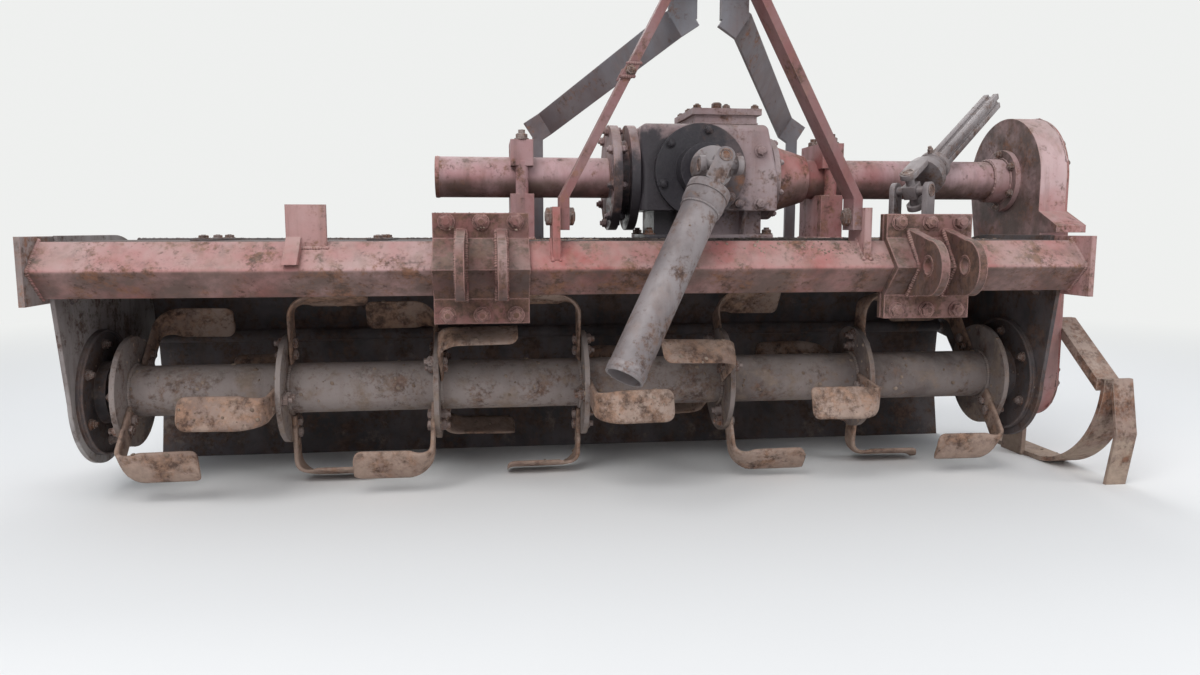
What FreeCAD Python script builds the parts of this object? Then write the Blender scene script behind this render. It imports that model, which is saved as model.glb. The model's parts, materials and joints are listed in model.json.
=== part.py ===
import FreeCAD, Part
import math
import os
import re

import Sketcher
from FreeCAD import Placement, Rotation, Vector

# Rotary tiller for a tractor, parked on its rotor.
# X runs along the rotor, the tractor side faces -Y, Z is up and the ground is at Z = 0.
# The Y of every value is counted from the front ridge of the main beam.

# Driving sizes in millimetres and degrees: name, value, what it is
SIZES = [
    ("half_width", 975, "middle of the machine to the outer face of an end plate"),
    ("beam_side", 75, "side of the square main beam, which stands on its edge"),
    ("beam_wall", 8, "wall of the main beam"),
    ("beam_corner", 8, "outer corner radius of the main beam"),
    ("beam_y", 50, "centre line of the beam, back"),
    ("beam_z", 450, "centre line of the beam, up"),
    ("end_plate_thick", 10, "end plate, along X"),
    ("end_plate_deep", 130, "end plate, front to back"),
    ("end_plate_tall", 118, "end plate, up"),
    ("end_plate_front", 60, "end plate, from the beam's centre to its front edge"),
    ("side_thick", 8, "side plate"),
    ("side_front_y", 72, "front edge of a side plate at the beam"),
    ("side_round", 140, "round lower end of a side plate, about the rotor axis"),
    ("side_step", 18, "side plate past the beam's lower and back ridges, up"),
    ("side_beam_gap", 2, "side plate behind the beam's back ridge"),
    ("side_low_y", 500, "where the slanted lower edge of a side plate ends"),
    ("side_back_z", 260, "lower end of a side plate's back edge"),
    ("side_hood_lip", 10, "side plate above the hood"),
    ("shaft_hole", 40, "radius of the hole for the rotor's stub in a side plate"),
    ("rotor_y", 250, "rotor axis, back"),
    ("blade_reach", 200, "rotor axis to the outside of a blade's foot"),
    ("rotor_tube_radius", 50.8, "rotor tube, outside"),
    ("rotor_tube_wall", 8, "rotor tube, wall"),
    ("end_flange_gap", 65, "end plate to the middle of the last flange"),
    ("flange_radius", 110, "rotor flange"),
    ("flange_thick", 10, "rotor flange"),
    ("stub_radius", 30, "bearing journal of the rotor"),
    ("stub_disc_radius", 72, "disc that bolts a stub to the end flange"),
    ("stub_disc_thick", 12, "disc of a stub"),
    ("drill_past", 30, "length of a cutting rod beyond each end of its bore"),
    ("journal_gap", 0.05, "radial running gap of the rotor's bearings"),
    ("stub_past_plate", 15, "stub beyond the side plate's outer face"),
    ("bearing_guard_radius", 125, "round guard of a rotor bearing"),
    ("bearing_guard_thick", 6, "guard sheet"),
    ("bearing_radius", 62, "rotor bearing housing"),
    ("bearing_length", 27, "rotor bearing housing along X"),
    ("cap_radius", 60, "bearing cap outside the left side plate"),
    ("cap_length", 25, "bearing cap along X"),
    ("cap_bore", 38, "inside radius of the bearing cap"),
    ("cap_floor", 5, "end wall of the bearing cap"),
    ("blade_thick", 8, "blade steel"),
    ("blade_gap", 140, "tip of a blade's foot to the middle of the next flange"),
    ("blade_bend", 52, "outer bend radius of a blade"),
    ("blade_tip_round", 14, "corner radius at the tip of a foot"),
    ("blade_root", 58, "inner end of a blade from the rotor axis"),
    ("blade_root_half", 24, "half width of a blade at its bolts"),
    ("blade_chord_deg", 9.5, "half angle that a blade's foot covers"),
    ("deck_z", 500, "top of the hood's flat deck"),
    ("hood_thick", 5, "hood sheet"),
    ("hood_bend_y", 350, "back end of the flat deck"),
    ("hood_radius", 200, "outer bend of the hood"),
    ("hood_tail_z", 289, "lower back edge of the hood"),
    ("notch_gap", 3, "room round the pieces that reach through the hood's front edge"),
    ("rod_y", 525, "hinge rod of the trailing board, back"),
    ("rod_z", 278, "hinge rod of the trailing board, up"),
    ("rod_radius", 8, "hinge rod"),
    ("rod_gap", 0.05, "radial running gap on the hinge rod"),
    ("roll_radius", 14, "rolled top edge of the board"),
    ("board_side_gap", 12, "board to side plate, each end"),
    ("board_thick", 5, "board sheet"),
    ("board_mid_y", 535, "inside of the board half way down"),
    ("board_mid_z", 150, "height of the board's crease"),
    ("board_edge_y", 505, "inside of the board at the ground"),
    ("board_lap", 1, "board sheet outside its hinge rod"),
    ("rear_bar_side", 50, "square bar across the back of the hood"),
    ("rear_bar_wall", 5, "wall of that bar"),
    ("rear_bar_y", 480, "front face of the rear bar"),
    ("hitch_middle", 224, "middle between the two lower hitch points"),
    ("hitch_half", 431, "middle to a lower hitch point"),
    ("clamp_width", 174, "hitch clamp along X"),
    ("clamp_plate", 12, "hitch clamp sheet"),
    ("clamp_flange", 101, "beam centre to the edge of a clamp flange"),
    ("clamp_split", 3, "half the gap between the two clamp halves"),
    ("ear_half_gap", 28, "half the space between the two ears of a clamp"),
    ("ear_thick", 16, "ear of a lower hitch point"),
    ("ear_nose", 52, "nose radius of an ear"),
    ("ear_nose_y", -48, "centre of an ear's nose"),
    ("ear_root_up", 72, "upper edge of an ear at the clamp, above the beam's centre"),
    ("ear_root_down", 58, "lower edge of an ear at the clamp, below the beam's centre"),
    ("pin_y", -48, "lower hitch hole"),
    ("pin_hole", 14.5, "radius of a lower hitch hole"),
    ("pin_lift", 4, "right lower hitch hole above the left one"),
    ("drive_y", 300, "axis of the two top tubes, back"),
    ("drive_z", 630, "axis of the two top tubes, up"),
    ("drive_radius", 42, "top tube, outside"),
    ("drive_wall", 8, "top tube, wall"),
    ("stub_tube_end", -300, "open end of the left top tube"),
    ("box_left", 115, "left face of the gearbox"),
    ("box_right", 405, "right face of the gearbox"),
    ("box_front", 195, "front face of the gearbox"),
    ("box_back", 405, "back face of the gearbox"),
    ("box_low", 560, "underside of the gearbox"),
    ("box_high", 735, "top of the gearbox"),
    ("foot_left", 150, "left face of the gearbox pedestal"),
    ("foot_right", 380, "right face of the gearbox pedestal"),
    ("foot_front", 235, "front face of the gearbox pedestal"),
    ("foot_back", 370, "back face of the gearbox pedestal"),
    ("cover_left", 232, "left face of the raised cover"),
    ("cover_right", 362, "right face of the raised cover"),
    ("cover_inset", 25, "raised cover behind the gearbox's front face"),
    ("cover_rise", 20, "raised cover above the gearbox"),
    ("cover_lip", 13, "lid on the raised cover"),
    ("cover_lap", 8, "lid past the raised cover on each side"),
    ("box_slope", 24, "how far the gearbox's right side leans out from top to bottom"),
    ("box_round", 14, "rounded edges of the gearbox casting"),
    ("ring_radius", 110, "flange rings on the gearbox's left side"),
    ("ring_thick", 18, "one flange ring"),
    ("ring_neck", 78, "neck between the flange rings"),
    ("ring_left", 60, "left face of the outer flange ring"),
    ("far_flange_radius", 76, "cone on the gearbox's right side, at the housing"),
    ("far_cone_radius", 50, "cone on the gearbox's right side, at its far end"),
    ("far_flange_thick", 85, "cone on the gearbox's right side, along X"),
    ("input_x", 236, "input shaft, along X"),
    ("input_z", 640, "input shaft, up"),
    ("input_plate_radius", 94, "bearing cover at the input"),
    ("input_plate_thick", 14, "bearing cover at the input"),
    ("input_boss_radius", 52, "boss in front of the bearing cover"),
    ("input_boss_length", 45, "boss in front of the bearing cover"),
    ("input_shaft_radius", 19, "input shaft"),
    ("joint_y", 30, "centre of the power shaft's joint, back"),
    ("stand_left", -123, "left tube clamp, along X"),
    ("stand_right", 536, "right tube clamp, along X"),
    ("stand_base_width", 48, "lower block of a tube clamp along X"),
    ("stand_base_deep", 130, "lower block of a tube clamp, front to back"),
    ("stand_base_high", 594, "top of the lower block"),
    ("stand_cap_width", 46, "cap of a tube clamp along X"),
    ("stand_cap_low", 650, "underside of the cap"),
    ("stand_cap_high", 703, "top of the cap"),
    ("stand_bolt", 13, "radius of a clamp bolt"),
    ("stand_bolt_inset", 12, "clamp bolt from the front or back of its block"),
    ("stand_bolt_lap", 10, "clamp bolt inside each of its two blocks"),
    ("stand_gap", 0.2, "tube clamp round its tube"),
    ("case_depth", 60, "drive case along X"),
    ("case_wall", 7, "drive case wall"),
    ("case_cover", 5, "drive case cover"),
    ("case_top_radius", 137, "top end of the drive case"),
    ("case_low_radius", 95, "lower end of the drive case"),
    ("case_nose_y", 100, "drive case where it reaches the beam"),
    ("case_nose_low", 515, "underside of that nose"),
    ("case_nose_high", 530, "top of that nose"),
    ("case_flare_z", 560, "where the drive case starts to reach forward"),
    ("case_back_y", 155, "front of the drive case behind the end plate"),
    ("case_room_gap", 12, "inside of the case from its front at the nose"),
    ("case_room_drop", 30, "upper end of the case's slanted inside below the nose"),
    ("case_ring_radius", 68, "flange ring where the drive tube meets the case"),
    ("case_ring_thick", 12, "that flange ring"),
    ("case_sleeve_radius", 48, "sleeve on the drive tube beside the ring"),
    ("case_sleeve_length", 45, "that sleeve with its ring, along X"),
    ("lug_left", -71, "left mast lug, along X"),
    ("lug_right", 520, "right mast lug, along X"),
    ("lug_thick", 14, "mast lug along X"),
    ("lug_half", 38, "half depth of a mast lug"),
    ("lug_high", 562, "top of a mast lug"),
    ("lug_pin", 10, "radius of the bolt through a mast lug"),
    ("lug_pin_z", 545, "height of that bolt"),
    ("mast_bolt_radius", 18, "head and nut of that bolt"),
    ("mast_bolt_head", 12, "head and nut of that bolt, along X"),
    ("mast_thick", 18, "mast bar along X"),
    ("mast_deep", 50, "mast bar, front to back"),
    ("mast_foot_z", 520, "lower end of a mast bar"),
    ("mast_bend_z", 580, "bend above the foot of a mast bar"),
    ("mast_top_z", 1085, "top of a mast bar"),
    ("mast_bend_drop", 50, "upper bend of a mast bar below its top"),
    ("mast_gap", 30, "half the space between the mast bars at the top"),
    ("top_hole", 12.8, "radius of the top link hole"),
    ("top_hole_drop", 25, "top link hole below the top of the mast bars"),
    ("head_half", 95, "half width of the plate behind the mast bars"),
    ("head_low_drop", 115, "lower edge of that plate below the top of the bars"),
    ("head_high_drop", 60, "upper edge of that plate below the top of the bars"),
    ("head_thick", 12, "that plate"),
    ("stay_wide", 54, "mast stay across its flat"),
    ("stay_thick", 12, "mast stay"),
    ("stay_top_x", 50, "mast stay's upper end from the middle of the mast"),
    ("stay_top_drop", 171, "bend of a mast stay behind the head plate, below the top of the bars"),
    ("stay_low_x", 302, "mast stay's lower end from the middle of the mast"),
    ("stay_low_z", 750, "middle of a mast stay's lower end"),
    ("stay_tab", 40, "flat tab at each end of a mast stay"),
    ("stay_head_drop", 62, "upper end of a mast stay below the top of the bars"),
    ("stay_post_wide", 24, "post under a mast stay along X"),
    ("bracket_left", -549, "upright bracket on the beam, left edge"),
    ("bracket_right", -479, "upright bracket on the beam, right edge"),
    ("bracket_high", 565, "upright bracket on the beam, top"),
    ("bracket_thick", 8, "upright bracket on the beam"),
    ("bracket_strip", 26, "strip of the bracket that runs down the beam's face, along X"),
    ("bracket_foot", 10, "foot of that strip, up and back from the beam's front ridge"),
    ("bracket_set", 15, "upright bracket in front of the beam's centre"),
    ("bracket_step", 5, "bend of the bracket above the beam's top ridge"),
    ("runner_gap", 10, "skid to the cover of the drive case"),
    ("runner_wide", 62, "skid along X"),
    ("runner_thick", 10, "skid steel"),
    ("runner_radius", 220, "outer bend of the skid's toe"),
    ("runner_bend_y", 245, "where the skid meets the ground"),
    ("runner_back_y", 455, "back end of the skid"),
    ("runner_tail_z", 60, "back end of the skid, up"),
    ("runner_tail_run", 60, "slanted back end of the skid, front to back"),
    ("runner_tail_step", 4, "square cut of the skid's back end"),
    ("toe_leg_wide", 45, "upright front leg of the skid along X"),
    ("toe_leg_thick", 8, "that leg"),
    ("toe_leg_bow", 22, "how far that leg bows forward"),
    ("post_front", 30, "foot of the skid's post behind the bend, front edge"),
    ("post_back", 110, "foot of the skid's post behind the bend, back edge"),
    ("post_top_front", 20, "top of the post behind the rotor axis, front edge"),
    ("post_top_back", 70, "top of the post behind the rotor axis, back edge"),
    ("post_top_drop", 40, "top of the post below the rotor axis"),
    ("strut_wide", 48, "skid strut along X"),
    ("strut_thick", 14, "skid strut"),
    ("strut_high", 330, "top of the skid strut"),
    ("strut_gap", 1.6, "lower end of the strut behind the skid's toe"),
    ("strut_toe", 25, "lower end of the strut below the skid's toe"),
    ("strut_back", 40, "upper end of the strut behind the front of the case"),
    ("strut_step", 15, "bevel at the strut's upper end"),
    ("yoke_ear", 11, "thickness of a joint yoke's ear"),
    ("yoke_gap", 30, "half the space between a yoke's ears"),
    ("yoke_half", 17, "half width of a yoke's ear"),
    ("yoke_reach", 56, "joint centre to a yoke's base"),
    ("yoke_base", 16, "base of a yoke"),
    ("cross_pin", 9, "radius of a cross's arm"),
    ("cross_half", 41, "joint centre to the end of a cross's arm"),
    ("cross_body", 14, "half side of a cross's middle"),
    ("cross_gap", 0.05, "radial running gap on a cross's arm"),
    ("shaft_tube_radius", 35, "power shaft tube"),
    ("shaft_tube_wall", 4, "power shaft tube"),
    ("shaft_tube_floor", 10, "solid end of the tube at its yoke"),
    ("shaft_length", 450, "joint centre to the open end of the power shaft"),
    ("shaft_lean_deg", 22.6, "power shaft, degrees forward of straight down"),
    ("shaft_side_deg", 27, "power shaft, degrees to the left"),
    ("loose_x", 668, "loose joint, along X"),
    ("loose_y", 140, "loose joint, back"),
    ("loose_z", 600, "loose joint, up"),
    ("loose_hub", 30, "hub of the loose joint"),
    ("loose_neck", 30, "hub of the upper loose yoke, along the bar"),
    ("loose_bar_side", 34, "profile bar of the loose half"),
    ("loose_groove", 9, "groove along each side of the profile bar, across"),
    ("loose_groove_deep", 5, "that groove, depth"),
    ("loose_bar_past", 2, "end of the profile bar past the drive case's inner side, along X"),
    ("loose_bar_turn_deg", 37, "profile bar, degrees from X towards the back"),
    ("loose_bar_rise_deg", 30, "profile bar, degrees above level"),
]

# Two places or lengths nearer than this count as the same, in mm
NEAR = 1

# Flanges from left to right: turn of the left-hand blades in degrees, 0 towards the front and 90 up
FLANGE_TURNS = [46, -5, -50, -97, 27, -8, -50]

# Sizes worked out from those above: name, formula
WORKED_OUT = [
    ("beam_half", "beam_side / sqrt(2)"),
    ("frame_x", "half_width - end_plate_thick"),
    ("plate_in_x", "frame_x - side_thick"),
    ("rotor_z", "blade_reach"),
    ("hood_z", "deck_z - hood_radius"),
    ("hitch_left", "hitch_middle - hitch_half"),
    ("hitch_right", "hitch_middle + hitch_half"),
    ("mast_middle", "(lug_left + lug_right) / 2"),
    ("mast_back", "beam_y + mast_deep / 2"),
    ("case_x", "frame_x + case_depth"),
    ("clamp_slant", "clamp_plate * sqrt(2)"),
    ("end_flange_x", "frame_x - end_flange_gap"),
    ("flange_pitch", "end_flange_x * 2 / %d" % (len(FLANGE_TURNS) - 1)),
    ("blade_foot", "flange_pitch - blade_gap"),
    ("pin_z_left", "beam_z"),
    ("pin_z_right", "beam_z + pin_lift"),
    ("mast_top_bend_z", "mast_top_z - mast_bend_drop"),
    ("top_hole_z", "mast_top_z - top_hole_drop"),
    ("head_low", "mast_top_z - head_low_drop"),
    ("head_high", "mast_top_z - head_high_drop"),
    ("stay_top_z", "mast_top_z - stay_top_drop"),
    ("runner_x", "case_x + case_cover + runner_gap"),
]

# Directions that an outline is drawn in
ACROSS_X = "XZ_Plane"
ALONG_X = "YZ_Plane"

doc = FreeCAD.newDocument("rotavator")
sheet = doc.addObject("Spreadsheet::Sheet", "Sizes")
ALIASES = set()
NODES = []


def fill_sheet():
    """Write every driving size, every worked-out size and the origin into the sheet."""
    row = 0
    for alias, value, words in SIZES:
        row += 1
        sheet.set("A%d" % row, alias)
        sheet.set("B%d" % row, str(value))
        sheet.set("C%d" % row, words)
        sheet.setAlias("B%d" % row, alias)
        ALIASES.add(alias)
    for alias, formula in WORKED_OUT:
        row += 1
        sheet.set("A%d" % row, alias)
        sheet.set("B%d" % row, "=" + formula)
        sheet.setAlias("B%d" % row, alias)
        ALIASES.add(alias)
    for alias in ("origin_x", "origin_y", "origin_z"):
        row += 1
        sheet.set("A%d" % row, alias)
        sheet.set("B%d" % row, "0")
        sheet.setAlias("B%d" % row, alias)
        ALIASES.add(alias)
    doc.recompute()


def number(formula):
    """Value of a formula of sheet names."""
    result = sheet.evalExpression(str(formula))
    return float(getattr(result, "Value", result))


def words(formula):
    """The formula with the sheet's name in front of each of its cells."""
    return re.sub(r"[a-z][a-z0-9_]+",
                  lambda m: "Sizes." + m.group(0) if m.group(0) in ALIASES else m.group(0), str(formula))


def bind(item, prop, formula):
    """Tie one property of an object to the sheet."""
    item.setExpression(prop, words(formula))


def put(item, x, y, z, turn=None):
    """Place an object at a point given by three formulas, measured from the origin cells."""
    if turn is not None:
        item.Placement = Placement(Vector(), turn)
    bind(item, "Placement.Base.x", "%s - origin_x" % x)
    bind(item, "Placement.Base.y", "%s - origin_y" % y)
    bind(item, "Placement.Base.z", "%s - origin_z" % z)
    return item


def node(item, name):
    """Mark an object as one sub-part of the machine."""
    item.Label = name
    NODES.append((name, item))
    return item


def block(label, size, at, turn=None):
    """Box with its sizes and its low corner as formulas."""
    item = doc.addObject("Part::Box", label)
    for prop, formula in zip(("Length", "Width", "Height"), size):
        bind(item, prop, formula)
    return put(item, at[0], at[1], at[2], turn)


TURN_TO = {
    "x": Rotation(Vector(0, 1, 0), 90),
    "y": Rotation(Vector(1, 0, 0), -90),
    "z": Rotation(),
}


def rod(label, radius, length, at, along="x"):
    """Cylinder from a point along X, Y or Z."""
    item = doc.addObject("Part::Cylinder", label)
    bind(item, "Radius", radius)
    bind(item, "Height", length)
    return put(item, at[0], at[1], at[2], TURN_TO[along])


def join(label, items):
    """One solid from several."""
    item = doc.addObject("Part::MultiFuse", label)
    item.Shapes = items
    item.Refine = True
    return item


def cut(label, base, tool):
    """One solid less another."""
    item = doc.addObject("Part::Cut", label)
    item.Base = base
    item.Tool = tool
    return item


def pin_point(sketch, geometry, end, name, point):
    """Hold one sketch point at two formulas."""
    for kind, axis, formula in (("DistanceX", "x", point[0]), ("DistanceY", "y", point[1])):
        index = sketch.addConstraint(Sketcher.Constraint(kind, -1, 1, geometry, end, number(formula)))
        sketch.renameConstraint(index, name + axis)
        bind(sketch, "Constraints." + name + axis, formula)


def draw_edge(sketch, start, end, arc):
    """Add a line or an arc from start to end; returns the geometry and its start and end marks."""
    first = Vector(start[0], start[1], 0)
    last = Vector(end[0], end[1], 0)
    if arc is None:
        return sketch.addGeometry(Part.LineSegment(first, last)), 1, 2
    middle = Vector(number(arc[0]), number(arc[1]), 0)
    circle = Part.Circle(middle, Vector(0, 0, 1), (first - middle).Length)
    low = math.atan2(first.y - middle.y, first.x - middle.x)
    high = math.atan2(last.y - middle.y, last.x - middle.x)
    if arc[2] == "left":
        return sketch.addGeometry(Part.ArcOfCircle(circle, low, high)), 1, 2
    return sketch.addGeometry(Part.ArcOfCircle(circle, high, low)), 2, 1


def plate(label, plane, corners, depth, at, arcs=None, holes=(), turn=None):
    """Body padded from an outline.

    corners are pairs of formulas, arcs maps an edge's number to its centre and the way it turns,
    holes are centre and radius formulas, and the pad runs along +X or, for ACROSS_X, along -Y.
    """
    arcs = arcs or {}
    body = doc.addObject("PartDesign::Body", label)
    sketch = body.newObject("Sketcher::SketchObject", label + "_outline")
    support = [item for item in body.Origin.OriginFeatures if item.Role == plane][0]
    sketch.AttachmentSupport = [(support, "")]
    sketch.MapMode = "FlatFace"
    points = [(number(x), number(y)) for x, y in corners]
    edges = []
    for index, start in enumerate(points):
        end = points[(index + 1) % len(points)]
        edges.append(draw_edge(sketch, start, end, arcs.get(index)))
    for index, (geometry, start, end) in enumerate(edges):
        following = edges[(index + 1) % len(edges)]
        sketch.addConstraint(Sketcher.Constraint("Coincident", geometry, end, following[0], following[1]))
        pin_point(sketch, geometry, start, "p%d" % index, corners[index])
    for index, arc in arcs.items():
        start = points[index]
        end = points[(index + 1) % len(points)]
        upright = abs(end[1] - start[1]) > abs(end[0] - start[0])
        kind = "DistanceX" if upright else "DistanceY"
        formula = arc[0] if upright else arc[1]
        mark = sketch.addConstraint(Sketcher.Constraint(kind, -1, 1, edges[index][0], 3, number(formula)))
        sketch.renameConstraint(mark, "c%d" % index)
        bind(sketch, "Constraints.c%d" % index, formula)
    for index, (x, y, radius) in enumerate(holes):
        circle = Part.Circle(Vector(number(x), number(y), 0), Vector(0, 0, 1), number(radius))
        geometry = sketch.addGeometry(circle)
        pin_point(sketch, geometry, 3, "h%d" % index, (x, y))
        mark = sketch.addConstraint(Sketcher.Constraint("Radius", geometry, number(radius)))
        sketch.renameConstraint(mark, "r%d" % index)
        bind(sketch, "Constraints.r%d" % index, radius)
    pad = body.newObject("PartDesign::Pad", label + "_pad")
    pad.Profile = sketch
    bind(pad, "Length", depth)
    return put(body, at[0], at[1], at[2], turn)


def solid(label, shape, at):
    """Free shape with its own place."""
    item = doc.addObject("Part::Feature", label)
    item.Shape = shape
    return put(item, at[0], at[1], at[2])


def polygon_face(points):
    """Flat face inside a closed row of points."""
    return Part.Face(Part.makePolygon(points + points[:1]))


# Frame

def main_beam():
    """Square tube on its edge."""
    half = "beam_half"
    corners = [
        ("beam_y - %s" % half, "beam_z"),
        ("beam_y", "beam_z - %s" % half),
        ("beam_y + %s" % half, "beam_z"),
        ("beam_y", "beam_z + %s" % half),
    ]
    bar = plate("beam_bar", ALONG_X, corners, "frame_x * 2", ("-frame_x", "0", "0"))
    edges = []
    doc.recompute()
    for index, edge in enumerate(bar.Shape.Edges):
        if edge.Length > number("frame_x"):
            edges.append("Edge%d" % (index + 1))
    pad = bar.Tip
    fillet = bar.newObject("PartDesign::Fillet", "beam_round")
    fillet.Base = (pad, edges)
    bind(fillet, "Radius", "beam_corner")
    bore = block("beam_bore",
                 ("frame_x * 2 + drill_past * 2", "beam_side - 2 * beam_wall", "beam_side - 2 * beam_wall"),
                 ("-frame_x - drill_past", "beam_y", "beam_z - beam_half + beam_wall * sqrt(2)"),
                 Rotation(Vector(1, 0, 0), 45))
    node(cut("main_beam", bar, bore), "main_beam")


def end_plates():
    """Rectangular plates that close the beam."""
    for name, x in (("end_plate_left", "-half_width"), ("end_plate_right", "frame_x")):
        at = (x, "beam_y - end_plate_front", "beam_z - end_plate_tall / 2")
        node(block(name, ("end_plate_thick", "end_plate_deep", "end_plate_tall"), at), name)


def side_plates():
    """Side plates with their round lower end about the rotor axis."""
    hood = "hood_radius + side_hood_lip"
    corners = [
        ("side_front_y", "beam_z - beam_half + side_step"),
        ("rotor_y - side_round", "rotor_z"),
        ("rotor_y + side_round / sqrt(2)", "rotor_z - side_round / sqrt(2)"),
        ("side_low_y", "rotor_z - side_round * sqrt(2) + side_low_y - rotor_y"),
        ("hood_bend_y + %s" % hood, "side_back_z"),
        ("hood_bend_y + %s" % hood, "hood_z"),
        ("hood_bend_y", "hood_z + %s" % hood),
        ("beam_y + beam_half + side_beam_gap", "hood_z + %s" % hood),
        ("beam_y + beam_half + side_beam_gap", "beam_z - side_step"),
    ]
    arcs = {1: ("rotor_y", "rotor_z", "left"), 5: ("hood_bend_y", "hood_z", "left")}
    hole = [("rotor_y", "rotor_z", "shaft_hole")]
    for name, x in (("side_plate_left", "-frame_x"), ("side_plate_right", "plate_in_x")):
        node(plate(name, ALONG_X, corners, "side_thick", (x, "0", "0"), arcs, hole), name)


def hood():
    """Deck behind the beam that bends down behind the rotor."""
    corners = [
        ("beam_y + beam_half - deck_z + beam_z", "deck_z"),
        ("beam_y + beam_half - deck_z + beam_z + hood_thick", "deck_z - hood_thick"),
        ("hood_bend_y", "deck_z - hood_thick"),
        ("hood_bend_y + hood_radius - hood_thick", "hood_z"),
        ("hood_bend_y + hood_radius - hood_thick", "hood_tail_z"),
        ("hood_bend_y + hood_radius", "hood_tail_z"),
        ("hood_bend_y + hood_radius", "hood_z"),
        ("hood_bend_y", "deck_z"),
    ]
    arcs = {2: ("hood_bend_y", "hood_z", "right"), 6: ("hood_bend_y", "hood_z", "left")}
    whole = plate("hood_sheet", ALONG_X, corners, "plate_in_x * 2", ("-plate_in_x", "0", "0"), arcs)

    # The front edge is cut back round the clamps and the mast lugs
    notches = []
    for middle, width, depth in (("hitch_left", "clamp_width", "clamp_slant + clamp_plate"),
                                 ("hitch_right", "clamp_width", "clamp_slant + clamp_plate"),
                                 ("lug_left", "lug_thick", "lug_half"),
                                 ("lug_right", "lug_thick", "lug_half")):
        size = (width + " + notch_gap * 2", depth + " + notch_gap", "hood_thick + drill_past * 2")
        at = ("%s - %s / 2 - notch_gap" % (middle, width), "beam_y", "deck_z - hood_thick - drill_past")
        notches.append(block("hood_notch_%d" % len(notches), size, at))
    node(cut("hood", whole, join("hood_notches", notches)), "hood")


def rear_bar():
    """Square tube across the back of the hood, resting on its bend."""
    low = "hood_z + sqrt(pow(hood_radius, 2) - pow(rear_bar_y - hood_bend_y, 2))"
    outer = block("rear_bar_outer", ("plate_in_x * 2", "rear_bar_side", "rear_bar_side"),
                  ("-plate_in_x", "rear_bar_y", low))
    inner = block("rear_bar_inner", ("plate_in_x * 2 + drill_past * 2", "rear_bar_side - rear_bar_wall * 2",
                                     "rear_bar_side - rear_bar_wall * 2"),
                  ("-plate_in_x - drill_past", "rear_bar_y + rear_bar_wall", low + " + rear_bar_wall"))
    node(cut("hood_rear_bar", outer, inner), "hood_rear_bar")


def trailing_board():
    """Board that hangs from a rod behind the rotor."""
    at = ("-plate_in_x", "rod_y", "rod_z")
    node(rod("board_hinge_rod", "rod_radius", "plate_in_x * 2", at), "board_hinge_rod")
    left = "-plate_in_x + board_side_gap"
    length = "(plate_in_x - board_side_gap) * 2"
    roll = rod("board_roll", "roll_radius", length, (left, "rod_y", "rod_z"))
    corners = [
        ("rod_y", "rod_z - roll_radius"),
        ("board_mid_y", "board_mid_z"),
        ("board_edge_y", "0"),
        ("board_edge_y + board_thick", "0"),
        ("board_mid_y + board_thick", "board_mid_z"),
        ("rod_y + roll_radius", "rod_z"),
        ("rod_y + rod_radius + board_lap", "rod_z"),
    ]
    sheet_part = plate("board_sheet", ALONG_X, corners, length, (left, "0", "0"))
    whole = join("board_whole", [roll, sheet_part])
    bore = rod("board_bore", "rod_radius + rod_gap", length + " + drill_past * 2",
               (left + " - drill_past", "rod_y", "rod_z"))
    node(cut("trailing_board", whole, bore), "trailing_board")


# Hitch

def clamp_corners(side):
    """Outline of one clamp half round the beam; side is - for the front half and + for the back half."""
    inner = "beam_y %s clamp_split" % side
    outer = "beam_y %s (clamp_split + clamp_plate)" % side
    saddle = "beam_half + clamp_slant - clamp_split - clamp_plate"
    return [
        (inner, "beam_z + clamp_flange"),
        (outer, "beam_z + clamp_flange"),
        (outer, "beam_z + " + saddle),
        ("beam_y %s (beam_half + clamp_slant)" % side, "beam_z"),
        (outer, "beam_z - (%s)" % saddle),
        (outer, "beam_z - clamp_flange"),
        (inner, "beam_z - clamp_flange"),
        (inner, "beam_z - beam_half + clamp_split"),
        ("beam_y %s beam_half" % side, "beam_z"),
        (inner, "beam_z + beam_half - clamp_split"),
    ]


def hitch_clamps():
    """Clamps round the beam, the front halves with two ears and their pin hole."""
    saddle = "beam_half + clamp_slant - clamp_split - clamp_plate"
    root = "beam_y - clamp_split - clamp_plate"
    ear = [
        (root, "beam_z + ear_root_up"),
        ("ear_nose_y", "beam_z + ear_nose"),
        ("ear_nose_y", "beam_z - ear_nose"),
        (root, "beam_z - ear_root_down"),
        (root, "beam_z - (%s)" % saddle),
        ("beam_y - beam_half - clamp_slant", "beam_z"),
        (root, "beam_z + " + saddle),
    ]
    nose = {1: ("ear_nose_y", "beam_z", "left")}
    for side in ("left", "right"):
        hole = [("pin_y", "pin_z_" + side, "pin_hole")]
        name = "hitch_clamp_" + side
        middle = "hitch_" + side
        left = "%s - clamp_width / 2" % middle
        pieces = [plate(name + "_saddle", ALONG_X, clamp_corners("-"), "clamp_width", (left, "0", "0"))]
        for ear_x in ("%s - ear_half_gap - ear_thick" % middle, "%s + ear_half_gap" % middle):
            number_of = len(pieces)
            pieces.append(plate("%s_ear_%d" % (name, number_of), ALONG_X, ear, "ear_thick",
                                (ear_x, "0", "0"), nose, hole))
        node(join(name, pieces), name)
        back = name + "_back"
        node(plate(back, ALONG_X, clamp_corners("+"), "clamp_width", (left, "0", "0")), back)


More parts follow.
